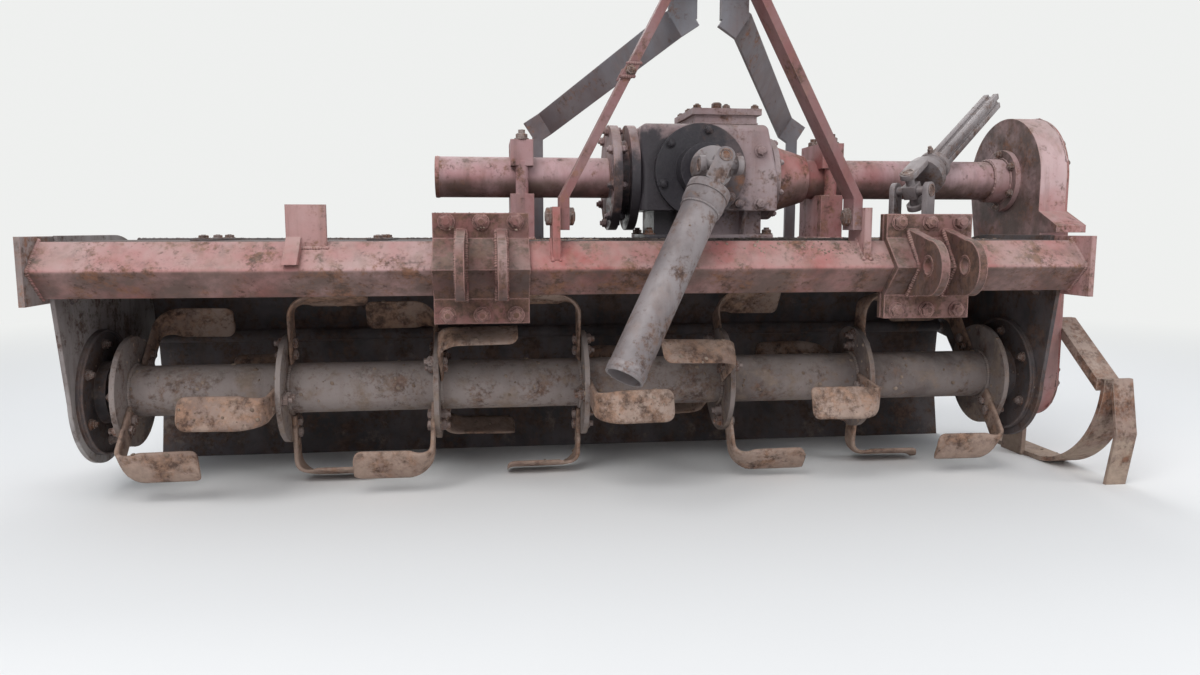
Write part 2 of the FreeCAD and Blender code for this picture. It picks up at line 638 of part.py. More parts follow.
def mast():
    """Lugs on the beam, two bent bars, the plate behind their tops and the two stays."""
    for side, sign in (("left", "-"), ("right", "+")):
        lug_x = "lug_%s - lug_thick / 2" % side
        lug = [
            ("beam_y - lug_half", "beam_z + beam_half - lug_half"),
            ("beam_y", "beam_z + beam_half"),
            ("beam_y + lug_half", "beam_z + beam_half - lug_half"),
            ("beam_y + lug_half", "lug_high"),
            ("beam_y - lug_half", "lug_high"),
        ]
        hole = [("beam_y", "lug_pin_z", "lug_pin")]
        name = "mast_lug_" + side
        node(plate(name, ALONG_X, lug, "lug_thick", (lug_x, "0", "0"), None, hole), name)

        # The bar stands on the lug's inner face and ends beside the top link hole
        other = "+" if sign == "-" else "-"
        foot = "lug_%s %s lug_thick / 2" % (side, other)
        top = "mast_middle %s (mast_gap + mast_thick)" % sign
        bar = [
            (foot, "mast_foot_z"),
            (foot, "mast_bend_z"),
            (top, "mast_top_bend_z"),
            (top, "mast_top_z"),
            ("%s %s mast_thick" % (top, other), "mast_top_z"),
            ("%s %s mast_thick" % (top, other), "mast_top_bend_z"),
            ("%s %s mast_thick" % (foot, other), "mast_bend_z"),
            ("%s %s mast_thick" % (foot, other), "mast_foot_z"),
        ]
        name = "mast_bar_" + side
        flat = plate(name + "_flat", ACROSS_X, bar, "mast_deep", ("0", "mast_back", "0"))
        reach = "(mast_thick + drill_past) * 2"
        top_hole = rod(name + "_top_hole", "top_hole", reach,
                       (top + " - mast_thick - drill_past", "beam_y", "top_hole_z"))
        pin = rod(name + "_pin_hole", "lug_pin", reach,
                  (foot + " - mast_thick - drill_past", "beam_y", "lug_pin_z"))
        node(cut(name, cut(name + "_drilled", flat, top_hole), pin), name)

        # Bolt through lug and bar, with its head and nut
        name = "mast_pin_" + side
        start = "lug_%s - lug_thick / 2" % side
        if side == "right":
            start += " - mast_thick"
        shank = rod(name + "_shank", "lug_pin", "lug_thick + mast_thick", (start, "beam_y", "lug_pin_z"))
        head = rod(name + "_head", "mast_bolt_radius", "mast_bolt_head",
                   (start + " - mast_bolt_head", "beam_y", "lug_pin_z"))
        nut = rod(name + "_nut", "mast_bolt_radius", "mast_bolt_head",
                  (start + " + lug_thick + mast_thick", "beam_y", "lug_pin_z"))
        node(join(name, [shank, head, nut]), name)

    at = ("mast_middle - head_half", "mast_back", "head_low")
    node(block("mast_head", ("head_half * 2", "head_thick", "head_high - head_low"), at), "mast_head")


def mast_stays():
    """Flat stays from the mast head to the rear bar, each with its post."""
    run_x = number("stay_low_x - stay_top_x")
    run_z = number("stay_top_z - stay_low_z")
    slope = math.hypot(run_x, run_z)
    start_y = number("mast_back + head_thick")
    end_y = number("rear_bar_y - stay_thick")
    tab = number("stay_tab")
    thick = number("stay_thick")
    for name, sign in (("mast_stay_left", -1), ("mast_stay_right", 1)):
        along = Vector(sign * run_x / slope, 0, -run_z / slope)
        across = Vector(along.z, 0, -along.x)
        middle = Vector(number("mast_middle") + sign * number("stay_top_x"), start_y, number("stay_top_z"))
        corner = middle - across * number("stay_wide") / 2
        line = [(-tab / 2, 0), (tab / 2, 0)]
        line += [(slope - tab / 2, end_y - start_y), (slope + tab / 2, end_y - start_y)]
        front = [corner + along * u + Vector(0, v, 0) for u, v in line]
        back = [point + Vector(0, thick, 0) for point in reversed(front)]
        strap = polygon_face(front + back).extrude(across * number("stay_wide"))
        low_x = number("mast_middle") + sign * number("stay_low_x")
        low_z = number("hood_z") + math.sqrt(number("hood_radius") ** 2
                                             - (end_y - number("hood_bend_y")) ** 2)
        post = Part.makeBox(number("stay_post_wide"), thick, number("stay_low_z") - low_z,
                            Vector(low_x - number("stay_post_wide") / 2, end_y, low_z))
        upright = Part.makeBox(number("stay_wide"), thick, number("stay_top_drop - stay_head_drop"),
                               middle - Vector(number("stay_wide") / 2, 0, 0))
        whole = strap.multiFuse([post, upright]).removeSplitter()
        node(solid(name, whole, ("0", "0", "0")), name)


def beam_bracket():
    """Small upright plate on the beam's top ridge, with a strip that runs down the front face."""
    back = "beam_y - bracket_set + bracket_thick"
    upright = [
        ("beam_y - bracket_set", "beam_z + beam_half - bracket_set"),
        ("beam_y - bracket_set", "bracket_high"),
        (back, "bracket_high"),
        (back, "beam_z + beam_half - bracket_set + bracket_thick"),
    ]
    strip = [
        ("beam_y - beam_half - bracket_foot", "beam_z + bracket_foot"),
        ("beam_y - bracket_set", "beam_z + beam_half + bracket_step"),
        ("beam_y - bracket_set", "bracket_high"),
        (back, "bracket_high"),
        (back, "beam_z + beam_half - bracket_set + bracket_thick"),
        ("beam_y - beam_half + bracket_foot", "beam_z + bracket_foot"),
    ]
    at = ("bracket_left", "0", "0")
    pieces = [
        plate("bracket_upright", ALONG_X, upright, "bracket_right - bracket_left", at),
        plate("bracket_band", ALONG_X, strip, "bracket_strip", at),
    ]
    node(join("beam_bracket", pieces), "beam_bracket")


# Drive

def top_tubes():
    """Open stub tube on the left and drive tube on the right."""
    spans = (("tube_left", "stub_tube_end", "ring_left"),
             ("tube_right", "box_right + far_flange_thick", "frame_x - case_sleeve_length"))
    for name, start, end in spans:
        length = "%s - (%s)" % (end, start)
        outer = rod(name + "_outer", "drive_radius", length, (start, "drive_y", "drive_z"))
        inner = rod(name + "_inner", "drive_radius - drive_wall", length + " + drill_past * 2",
                    (start + " - drill_past", "drive_y", "drive_z"))
        node(cut(name, outer, inner), name)


def gearbox():
    """Rounded housing on its pedestal, raised cover with its lid, rings, right-hand cone and input cover."""
    outline = [
        ("box_left", "box_low"),
        ("box_right", "box_low"),
        ("box_right", "drive_z"),
        ("box_right - box_slope", "box_high"),
        ("box_left", "box_high"),
    ]
    main = plate("gearbox_main", ACROSS_X, outline, "box_back - box_front", ("0", "box_back", "0"))
    doc.recompute()
    low = number("box_high + box_low") / 2
    edges = []
    for index, edge in enumerate(main.Shape.Edges):
        box = edge.BoundBox
        upright = box.ZLength > NEAR and box.YLength < NEAR
        along_top = box.ZMin > low and box.ZLength < NEAR
        if upright or along_top:
            edges.append("Edge%d" % (index + 1))
    pad = main.Tip
    fillet = main.newObject("PartDesign::Fillet", "gearbox_round")
    fillet.Base = (pad, edges)
    bind(fillet, "Radius", "box_round")
    size = ("foot_right - foot_left", "foot_back - foot_front", "box_low - deck_z")
    pedestal = block("gearbox_pedestal", size, ("foot_left", "foot_front", "deck_z"))
    node(join("gearbox_housing", [main, pedestal]), "gearbox_housing")

    size = ("cover_right - cover_left", "box_back - box_front - cover_inset * 2", "cover_rise")
    riser = block("cover_riser", size, ("cover_left", "box_front + cover_inset", "box_high"))
    size = ("cover_right - cover_left + cover_lap * 2",
            "box_back - box_front - (cover_inset - cover_lap) * 2", "cover_lip")
    at = ("cover_left - cover_lap", "box_front + cover_inset - cover_lap", "box_high + cover_rise")
    lid = block("cover_lid", size, at)
    node(join("gearbox_cover", [riser, lid]), "gearbox_cover")

    axis = ("drive_y", "drive_z")
    rings = [
        rod("ring_outer", "ring_radius", "ring_thick", ("ring_left",) + axis),
        rod("ring_neck_rod", "ring_neck", "box_left - ring_left", ("ring_left",) + axis),
        rod("ring_inner", "ring_radius", "ring_thick", ("box_left - ring_thick",) + axis),
    ]
    node(join("gearbox_rings", rings), "gearbox_rings")
    cone = doc.addObject("Part::Cone", "gearbox_cone")
    bind(cone, "Radius1", "far_flange_radius")
    bind(cone, "Radius2", "far_cone_radius")
    bind(cone, "Height", "far_flange_thick")
    put(cone, "box_right", "drive_y", "drive_z", TURN_TO["x"])
    node(cone, "gearbox_flange_right")

    front = "box_front - input_plate_thick"
    boss = front + " - input_boss_length"
    pieces = [
        rod("input_plate", "input_plate_radius", "input_plate_thick", ("input_x", front, "input_z"), "y"),
        rod("input_boss", "input_boss_radius", "input_boss_length", ("input_x", boss, "input_z"), "y"),
    ]
    node(join("input_cover", pieces), "input_cover")


def tube_clamps():
    """Two-piece clamps that hold the top tubes on the deck."""
    for side, middle in (("left", "stand_left"), ("right", "stand_right")):
        name = "tube_clamp_" + side
        front = "drive_y - stand_base_deep / 2"
        base = block(name + "_base", ("stand_base_width", "stand_base_deep", "stand_base_high - deck_z"),
                     ("%s - stand_base_width / 2" % middle, front, "deck_z"))
        cap = block(name + "_cap", ("stand_cap_width", "stand_base_deep", "stand_cap_high - stand_cap_low"),
                    ("%s - stand_cap_width / 2" % middle, front, "stand_cap_low"))
        bolts = []
        for bolt_y in (front + " + stand_bolt_inset", "drive_y + stand_base_deep / 2 - stand_bolt_inset"):
            bolts.append(rod("%s_bolt_%d" % (name, len(bolts)), "stand_bolt",
                             "stand_cap_low - stand_base_high + stand_bolt_lap * 2",
                             (middle, bolt_y, "stand_base_high - stand_bolt_lap"), "z"))
        whole = join(name + "_whole", [base, cap] + bolts)
        bore = rod(name + "_bore", "drive_radius + stand_gap", "stand_base_width + drill_past * 2",
                   ("%s - stand_base_width / 2 - drill_past" % middle, "drive_y", "drive_z"))
        node(cut(name, whole, bore), name)


def drive_case():
    """Case of the side drive with its cover."""
    corners = [
        ("drive_y - case_top_radius", "drive_z"),
        ("drive_y - case_top_radius", "case_flare_z"),
        ("case_nose_y", "case_nose_high"),
        ("case_nose_y", "case_nose_low"),
        ("case_back_y", "case_nose_low"),
        ("case_back_y", "beam_z - beam_half"),
        ("rotor_y - case_low_radius", "rotor_z"),
        ("rotor_y + case_low_radius", "rotor_z"),
        ("drive_y + case_top_radius", "drive_z"),
    ]
    arcs = {6: ("rotor_y", "rotor_z", "left"), 8: ("drive_y", "drive_z", "left")}
    hole = [("rotor_y", "rotor_z", "shaft_hole")]
    tray = plate("case_block", ALONG_X, corners, "case_depth", ("frame_x", "0", "0"), arcs, hole)
    hollow = [
        ("drive_y - case_top_radius + case_wall", "drive_z"),
        ("case_back_y + case_room_gap", "case_nose_low - case_room_drop"),
        ("rotor_y - case_low_radius + case_wall", "rotor_z"),
        ("rotor_y + case_low_radius - case_wall", "rotor_z"),
        ("drive_y + case_top_radius - case_wall", "drive_z"),
    ]
    arcs_in = {2: ("rotor_y", "rotor_z", "left"), 4: ("drive_y", "drive_z", "left")}
    room = plate("case_room", ALONG_X, hollow, "case_depth", ("frame_x + case_wall", "0", "0"), arcs_in)
    node(cut("drive_case", tray, room), "drive_case")
    node(plate("drive_case_cover", ALONG_X, corners, "case_cover", ("case_x", "0", "0"), arcs),
         "drive_case_cover")

    # Flange ring and sleeve that take the drive tube's end
    axis = ("drive_y", "drive_z")
    pieces = [
        rod("case_ring", "case_ring_radius", "case_ring_thick", ("frame_x - case_ring_thick",) + axis),
        rod("case_sleeve", "case_sleeve_radius", "case_sleeve_length",
            ("frame_x - case_sleeve_length",) + axis),
    ]
    node(join("case_flange", pieces), "case_flange")


# Rotor

def rotor():
    """Tube with its flanges, and the two stubs with their discs."""
    pieces = [rod("rotor_tube_outer", "rotor_tube_radius", "end_flange_x * 2",
                  ("-end_flange_x", "rotor_y", "rotor_z"))]
    for index in range(len(FLANGE_TURNS)):
        x = "-end_flange_x + %d * flange_pitch - flange_thick / 2" % index
        pieces.append(rod("rotor_flange_%d" % index, "flange_radius", "flange_thick",
                          (x, "rotor_y", "rotor_z")))
    bore = rod("rotor_tube_bore", "rotor_tube_radius - rotor_tube_wall", "(end_flange_x + drill_past) * 2",
               ("-end_flange_x - drill_past", "rotor_y", "rotor_z"))
    node(cut("rotor_tube", join("rotor_tube_whole", pieces), bore), "rotor_tube")

    face = "end_flange_x + flange_thick / 2"
    end = "frame_x + stub_past_plate"
    for side in ("left", "right"):
        name = "rotor_stub_" + side
        disc_x = face if side == "right" else "-(%s) - stub_disc_thick" % face
        shaft_x = face if side == "right" else "-(%s)" % end
        disc = rod(name + "_disc", "stub_disc_radius", "stub_disc_thick", (disc_x, "rotor_y", "rotor_z"))
        length = "%s - (%s)" % (end, face)
        shaft = rod(name + "_shaft", "stub_radius", length, (shaft_x, "rotor_y", "rotor_z"))
        node(join(name, [disc, shaft]), name)


def blade_shape(side):
    """Blade about the X axis with its middle straight up; side is 1 for a foot towards +X."""
    face = number("flange_thick / 2")
    thick = number("blade_thick")
    reach = number("blade_reach")
    bend = number("blade_bend")
    chord = number("blade_chord_deg")
    neck = reach - bend
    half = neck * math.sin(math.radians(chord))
    root = number("blade_root")
    root_half = number("blade_root_half")
    shank_face = polygon_face([Vector(face, -root_half, root), Vector(face, root_half, root),
                               Vector(face, half, neck), Vector(face, -half, neck)])
    shank = shank_face.extrude(Vector(thick, 0, 0))
    middle = Vector(face + bend, 0, neck)
    slant = Vector(-math.sqrt(0.5), 0, math.sqrt(0.5))
    inner = Part.Arc(Vector(face + thick, 0, neck), middle + slant * (bend - thick),
                     Vector(face + bend, 0, reach - thick)).toShape()
    outer = Part.Arc(Vector(face + bend, 0, reach), middle + slant * bend, Vector(face, 0, neck)).toShape()
    tip = number("blade_foot")
    foot = [
        inner,
        Part.makeLine(Vector(face + bend, 0, reach - thick), Vector(tip, 0, reach - thick)),
        Part.makeLine(Vector(tip, 0, reach - thick), Vector(tip, 0, reach)),
        Part.makeLine(Vector(tip, 0, reach), Vector(face + bend, 0, reach)),
        outer,
        Part.makeLine(Vector(face, 0, neck), Vector(face + thick, 0, neck)),
    ]
    profile = Part.Face(Part.Wire(foot))
    profile.rotate(Vector(), Vector(1, 0, 0), -chord)
    bent = profile.revolve(Vector(), Vector(1, 0, 0), 2 * chord)
    corners = []
    for edge in bent.Edges:
        box = edge.BoundBox
        at_tip = box.XMin > tip - NEAR and box.XLength < NEAR
        if at_tip and abs(edge.Length - thick) < NEAR:
            corners.append(edge)
    bent = bent.makeFillet(number("blade_tip_round"), corners)
    blade = shank.fuse(bent).removeSplitter()
    if side < 0:
        blade = blade.mirror(Vector(), Vector(1, 0, 0))
    return blade


def blades():
    """All blades with a foot to the left, and all with a foot to the right."""
    last = len(FLANGE_TURNS) - 1
    for name, side, offset in (("blades_left", -1, 0), ("blades_right", 1, 90)):
        shape = blade_shape(side)
        copies = []
        for index, turn in enumerate(FLANGE_TURNS):
            if (side < 0 and index == 0) or (side > 0 and index == last):
                continue
            for half_turn in (0, 180):
                blade = shape.copy()
                blade.rotate(Vector(), Vector(1, 0, 0), 90 - (turn + offset + half_turn))
                blade.translate(Vector(number("-end_flange_x + %d * flange_pitch" % index), 0, 0))
                copies.append(blade)
        node(solid(name, Part.makeCompound(copies), ("0", "rotor_y", "rotor_z")), name)


def bearings():
    """Bearing housings inside the side plates, each with a round guard, and the outer cap on the left."""
    for side in ("left", "right"):
        name = "bearing_" + side
        start = "plate_in_x - bearing_length" if side == "right" else "-plate_in_x"
        guard_x = "plate_in_x - bearing_guard_thick" if side == "right" else "-plate_in_x"
        hub = rod(name + "_hub", "bearing_radius", "bearing_length", (start, "rotor_y", "rotor_z"))
        guard = rod(name + "_guard", "bearing_guard_radius", "bearing_guard_thick",
                    (guard_x, "rotor_y", "rotor_z"))
        bore = rod(name + "_bore", "stub_radius + journal_gap", "bearing_length + drill_past * 2",
                   (start + " - drill_past", "rotor_y", "rotor_z"))
        node(cut(name, join(name + "_whole", [hub, guard]), bore), name)
    cup = rod("cap_outer", "cap_radius", "cap_length", ("-frame_x - cap_length", "rotor_y", "rotor_z"))
    room = rod("cap_room", "cap_bore", "cap_length",
               ("-frame_x - cap_length + cap_floor", "rotor_y", "rotor_z"))
    node(cut("bearing_cap_left", cup, room), "bearing_cap_left")


# Skid

def skid():
    """Right-hand skid with its front leg and its post, and the strut that holds its toe."""
    centre = ("runner_bend_y", "runner_radius")
    toe_y = "runner_bend_y - runner_radius"
    corners = [
        (toe_y, "runner_radius"),
        ("runner_bend_y", "0"),
        ("runner_back_y - runner_tail_run", "0"),
        ("runner_back_y", "runner_tail_z"),
        ("runner_back_y - runner_thick", "runner_tail_z + runner_tail_step"),
        ("runner_back_y - runner_tail_run - runner_thick / 2", "runner_thick"),
        ("runner_bend_y", "runner_thick"),
        (toe_y + " + runner_thick", "runner_radius"),
    ]
    arcs = {0: centre + ("left",), 6: centre + ("right",)}
    runner = plate("skid_runner", ALONG_X, corners, "runner_wide", ("runner_x", "0", "0"), arcs)
    leg_corners = [
        (toe_y, "runner_radius"),
        (toe_y + " - toe_leg_bow", "runner_radius / 2"),
        (toe_y, "0"),
        (toe_y + " + toe_leg_thick", "0"),
        (toe_y + " - toe_leg_bow + toe_leg_thick", "runner_radius / 2"),
        (toe_y + " + toe_leg_thick", "runner_radius"),
    ]
    leg = plate("skid_leg", ALONG_X, leg_corners, "toe_leg_wide",
                ("runner_x + runner_wide - toe_leg_wide", "0", "0"))
    post_corners = [
        ("runner_bend_y + post_front", "0"),
        ("runner_bend_y + post_back", "0"),
        ("rotor_y + post_top_back", "rotor_z - post_top_drop"),
        ("rotor_y + post_top_front", "rotor_z - post_top_drop"),
    ]
    cover_x = "case_x + case_cover"
    post = plate("skid_post", ALONG_X, post_corners, "runner_gap", (cover_x, "0", "0"))
    node(join("skid_right", [runner, leg, post]), "skid_right")

    toe_back = toe_y + " + runner_thick"
    strut = [
        (toe_back + " + strut_gap", "runner_radius - strut_toe"),
        ("case_back_y + strut_back", "strut_high - strut_thick"),
        ("case_back_y + strut_back", "strut_high"),
        ("case_back_y + strut_back - strut_step", "strut_high"),
        (toe_back, "runner_radius"),
    ]
    node(plate("skid_strut", ALONG_X, strut, "strut_wide", (cover_x, "0", "0")), "skid_strut")


# Power shaft

def yoke(hub_length, hub_radius):
    """Yoke with its joint centre at 0, its pins along X and its hub towards +Z."""
    gap = number("yoke_gap")
    ear = number("yoke_ear")
    half = number("yoke_half")
    reach = number("yoke_reach")
    base = number("yoke_base")
    pieces = []
    for x in (gap, -gap - ear):
        bar = Part.makeBox(ear, half * 2, reach, Vector(x, -half, 0))
        eye = Part.makeCylinder(half, ear, Vector(x, 0, 0), Vector(1, 0, 0))
        pieces.append(bar.fuse(eye))
    pieces.append(Part.makeCylinder(gap + ear, base, Vector(0, 0, reach), Vector(0, 0, 1)))
    pieces.append(Part.makeCylinder(hub_radius, hub_length, Vector(0, 0, reach + base), Vector(0, 0, 1)))
    whole = pieces[0].multiFuse(pieces[1:])
    bore = number("cross_pin + cross_gap")
    whole = whole.cut(Part.makeCylinder(bore, 4 * gap, Vector(-2 * gap, 0, 0), Vector(1, 0, 0)))
    return whole.removeSplitter()


def cross():
    """Cross with arms along X and Y."""
    half = number("cross_half")
    pin = number("cross_pin")
    body = number("cross_body")
    pieces = [Part.makeBox(2 * body, 2 * body, 2 * body, Vector(-body, -body, -body))]
    for way in (Vector(1, 0, 0), Vector(0, 1, 0)):
        for sign in (1, -1):
            pieces.append(Part.makeCylinder(pin, half - body, way * sign * body, way * sign))
    return pieces[0].multiFuse(pieces[1:]).removeSplitter()


def facing(hub, pins):
    """Turn that takes +Z to the hub's direction and +X to the pins' direction."""
    return Rotation(pins, hub.cross(pins), hub, "ZXY")


def turned(shape, rotation):
    """Copy of a shape turned about its own centre."""
    result = shape.copy()
    result.Placement = Placement(Vector(), rotation)
    return result


def power_shaft():
    """Yoke on the input shaft, cross, and the shaft half that hangs over the beam."""
    centre = ("input_x", "joint_y", "input_z")
    gap = number("box_front - input_plate_thick - input_boss_length - joint_y")
    hub_length = gap - number("yoke_reach + yoke_base")
    fixed = turned(yoke(hub_length, number("input_shaft_radius")), facing(Vector(0, 1, 0), Vector(1, 0, 0)))
    node(solid("input_yoke", fixed, centre), "input_yoke")

    lean = math.radians(number("shaft_lean_deg"))
    side = math.radians(number("shaft_side_deg"))
    down = Vector(0, -math.sin(lean), -math.cos(lean))
    hub = down * math.cos(side) - Vector(1, 0, 0) * math.sin(side)
    pins = Vector(1, 0, 0).cross(down)
    middle = turned(cross(), facing(Vector(1, 0, 0).cross(pins), Vector(1, 0, 0)))
    node(solid("pto_cross", middle, centre), "pto_cross")

    length = number("shaft_length - yoke_reach - yoke_base")
    radius = number("shaft_tube_radius")
    tube = yoke(length, radius)
    floor = Vector(0, 0, number("yoke_reach + yoke_base + shaft_tube_floor"))
    bore = Part.makeCylinder(radius - number("shaft_tube_wall"), length, floor, Vector(0, 0, 1))
    shaft = turned(tube.cut(bore), facing(hub, pins))
    node(solid("pto_shaft", shaft, centre), "pto_shaft")
    return hub, pins


def loose_half():
    """Second half of the power shaft, left lying on the deck: a joint with its profile bar."""
    centre = ("loose_x", "loose_y", "loose_z")
    stand = number("loose_z - deck_z") - number("yoke_reach + yoke_base")
    turn = math.radians(number("loose_bar_turn_deg"))
    rise = math.radians(number("loose_bar_rise_deg"))
    level = Vector(math.cos(turn), math.sin(turn), 0)
    hub = level * math.cos(rise) + Vector(0, 0, math.sin(rise))
    low_pins = level.cross(Vector(0, 0, 1))
    low_pins.normalize()
    low = turned(yoke(stand, number("loose_hub")), facing(Vector(0, 0, -1), low_pins))
    node(solid("loose_yoke_low", low, centre), "loose_yoke_low")
    high_pins = hub.cross(low_pins)
    middle = turned(cross(), facing(low_pins.cross(high_pins), low_pins))
    node(solid("loose_cross", middle, centre), "loose_cross")
    high = turned(yoke(number("loose_neck"), number("loose_hub")), facing(hub, high_pins))
    node(solid("loose_yoke_high", high, centre), "loose_yoke_high")
    side = number("loose_bar_side")
    start = number("yoke_reach + yoke_base + loose_neck")
    length = number("frame_x + loose_bar_past - loose_x") / hub.x - start
    wide = number("loose_groove")
    deep = number("loose_groove_deep")
    bar = Part.makeBox(side, side, length, Vector(-side / 2, -side / 2, start))
    for sign in (1, -1):
        low = (sign * (side - deep) - deep) / 2
        bar = bar.cut(Part.makeBox(deep, wide, length, Vector(low, -wide / 2, start)))
        bar = bar.cut(Part.makeBox(wide, deep, length, Vector(-wide / 2, low, start)))
    node(solid("loose_bar", turned(bar, facing(hub, high_pins)), centre), "loose_bar")


def check_and_write():
    """Stop if any object failed or any sub-part is empty or not valid, then write every sub-part."""
    for item in doc.Objects:
        for state in item.State:
            if state in ("Invalid", "Error"):
                raise RuntimeError("object failed: " + item.Label)
    for name, item in NODES:
        if item.Shape.isNull() or not item.Shape.isValid():
            raise RuntimeError("sub-part is not a valid shape: " + name)
    os.makedirs("parts", exist_ok=True)
    for name, item in NODES:
        item.Shape.exportStep("parts/" + name + ".step")


def set_origin():
    """Move the origin to the middle of the whole machine's box, at the ground."""
    whole = FreeCAD.BoundBox()
    for name, item in NODES:
        whole.add(item.Shape.optimalBoundingBox(False, False))
    centre = (("origin_x", (whole.XMin + whole.XMax) / 2),
              ("origin_y", (whole.YMin + whole.YMax) / 2),
              ("origin_z", whole.ZMin))
    for alias, value in centre:
        sheet.set(sheet.getCellFromAlias(alias), "%.4f" % value)
    doc.recompute()


fill_sheet()
main_beam()
end_plates()
side_plates()
hood()
rear_bar()
trailing_board()
hitch_clamps()
mast()
mast_stays()
beam_bracket()
top_tubes()
gearbox()
tube_clamps()
drive_case()
rotor()
blades()
bearings()
skid()
power_shaft()
loose_half()
doc.recompute()
set_origin()
check_and_write()
print("origin", number("origin_x"), number("origin_y"), number("origin_z"), "nodes", len(NODES))
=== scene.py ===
import json
import logging
import math
from dataclasses import dataclass, replace
from enum import Enum
from typing import Iterable, Sequence

import bmesh
import bpy
from mathutils import Matrix, Vector


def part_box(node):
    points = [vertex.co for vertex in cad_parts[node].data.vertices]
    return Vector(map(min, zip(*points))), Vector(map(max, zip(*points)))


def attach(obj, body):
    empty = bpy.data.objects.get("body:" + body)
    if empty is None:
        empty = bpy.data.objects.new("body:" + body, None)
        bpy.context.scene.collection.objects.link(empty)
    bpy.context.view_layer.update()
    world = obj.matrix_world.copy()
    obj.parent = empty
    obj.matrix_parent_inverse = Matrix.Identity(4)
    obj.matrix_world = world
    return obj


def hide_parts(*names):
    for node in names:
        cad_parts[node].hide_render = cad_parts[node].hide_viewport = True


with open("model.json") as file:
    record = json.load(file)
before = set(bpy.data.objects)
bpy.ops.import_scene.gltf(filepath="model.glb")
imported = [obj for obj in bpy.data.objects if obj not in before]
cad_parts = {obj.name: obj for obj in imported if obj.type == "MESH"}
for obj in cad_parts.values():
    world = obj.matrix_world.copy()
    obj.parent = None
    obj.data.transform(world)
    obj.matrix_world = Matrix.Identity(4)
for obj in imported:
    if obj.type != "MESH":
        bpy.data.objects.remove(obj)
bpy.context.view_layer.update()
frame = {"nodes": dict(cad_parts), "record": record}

logging.basicConfig(level=logging.INFO, format="%(message)s")
log = logging.getLogger("rotavator")

Colour = tuple[float, float, float]


def mm(value: float) -> float:
    """Millimetres as metres."""
    return value / 1000.0


def middle(node: str) -> Vector:
    """Centre of a CAD node's box."""
    low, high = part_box(node)
    return (low + high) / 2


# Node trees


class Tree:
    """A node tree, with short calls that add nodes and links.

    Args:
        tree: the shader or geometry tree to fill.
    """

    def __init__(self, tree: bpy.types.NodeTree) -> None:
        self.tree = tree

    @classmethod
    def group(cls, name: str, kind: str) -> "Tree":
        """New node group of one kind, shader or geometry."""
        return cls(bpy.data.node_groups.new(name, kind))

    def takes(self, name: str, kind: str, default: object = None) -> None:
        """Add an input socket to the group, with its default."""
        item = self.tree.interface.new_socket(name=name, in_out="INPUT", socket_type=kind)
        if default is not None:
            item.default_value = default

    def gives(self, name: str, kind: str) -> None:
        """Add an output socket to the group."""
        self.tree.interface.new_socket(name=name, in_out="OUTPUT", socket_type=kind)

    def add(self, kind: str, **settings: object) -> bpy.types.Node:
        """Add a node.

        Args:
            kind: the node's type name.
            settings: properties of the node to set.

        Returns:
            The node.
        """
        made = self.tree.nodes.new(kind)
        for key, value in settings.items():
            setattr(made, key, value)
        return made

    def feed(self, node: bpy.types.Node, **values: object) -> bpy.types.Node:
        """Set or link inputs of a node by name, with _ for a space.

        Args:
            node: the node whose inputs are set.
            values: a socket to link from, or a plain value.

        Returns:
            The same node.
        """
        for key, value in values.items():
            self.put(node.inputs[key.replace("_", " ")], value)
        return node

    def put(self, socket: bpy.types.NodeSocket, value: object) -> None:
        """Link a socket from another one, or set its value."""
        if isinstance(value, bpy.types.NodeSocket):
            self.tree.links.new(value, socket)
        else:
            socket.default_value = value

    def math(self, operation: str, a: object, b: object = 0.0, clamp: bool = False) -> bpy.types.NodeSocket:
        """Result of a Math node."""
        node = self.add("ShaderNodeMath", operation=operation, use_clamp=clamp)
        self.put(node.inputs[0], a)
        self.put(node.inputs[1], b)
        return node.outputs[0]

    def span(self, value: object, low: object, high: object, to_low: float = 0.0, to_high: float = 1.0
             ) -> bpy.types.NodeSocket:
        """A value taken smoothly from one range to another."""
        node = self.add("ShaderNodeMapRange", interpolation_type="SMOOTHSTEP")
        for index, item in enumerate((value, low, high, to_low, to_high)):
            self.put(node.inputs[index], item)
        return node.outputs[0]

    def noise(self, vector: object, scale: object, detail: float = 2.0, rough: float = 0.5
              ) -> bpy.types.NodeSocket:
        """Value of a Noise Texture."""
        node = self.add("ShaderNodeTexNoise")
        self.feed(node, Vector=vector, Scale=scale, Detail=detail, Roughness=rough)
        return node.outputs[0]

    def mix(self, factor: object, a: object, b: object, blend: str = "MIX") -> bpy.types.NodeSocket:
        """Colour mixed from two."""
        node = self.add("ShaderNodeMix", data_type="RGBA", blend_type=blend)
        self.put(node.inputs[0], factor)
        self.put(node.inputs[6], rgba(a))
        self.put(node.inputs[7], rgba(b))
        return node.outputs[2]


def rgba(value: object) -> object:
    """A colour with its alpha; a socket is passed on."""
    if isinstance(value, tuple) and len(value) == 3:
        return (*value, 1.0)
    return value


# Shared surface effects


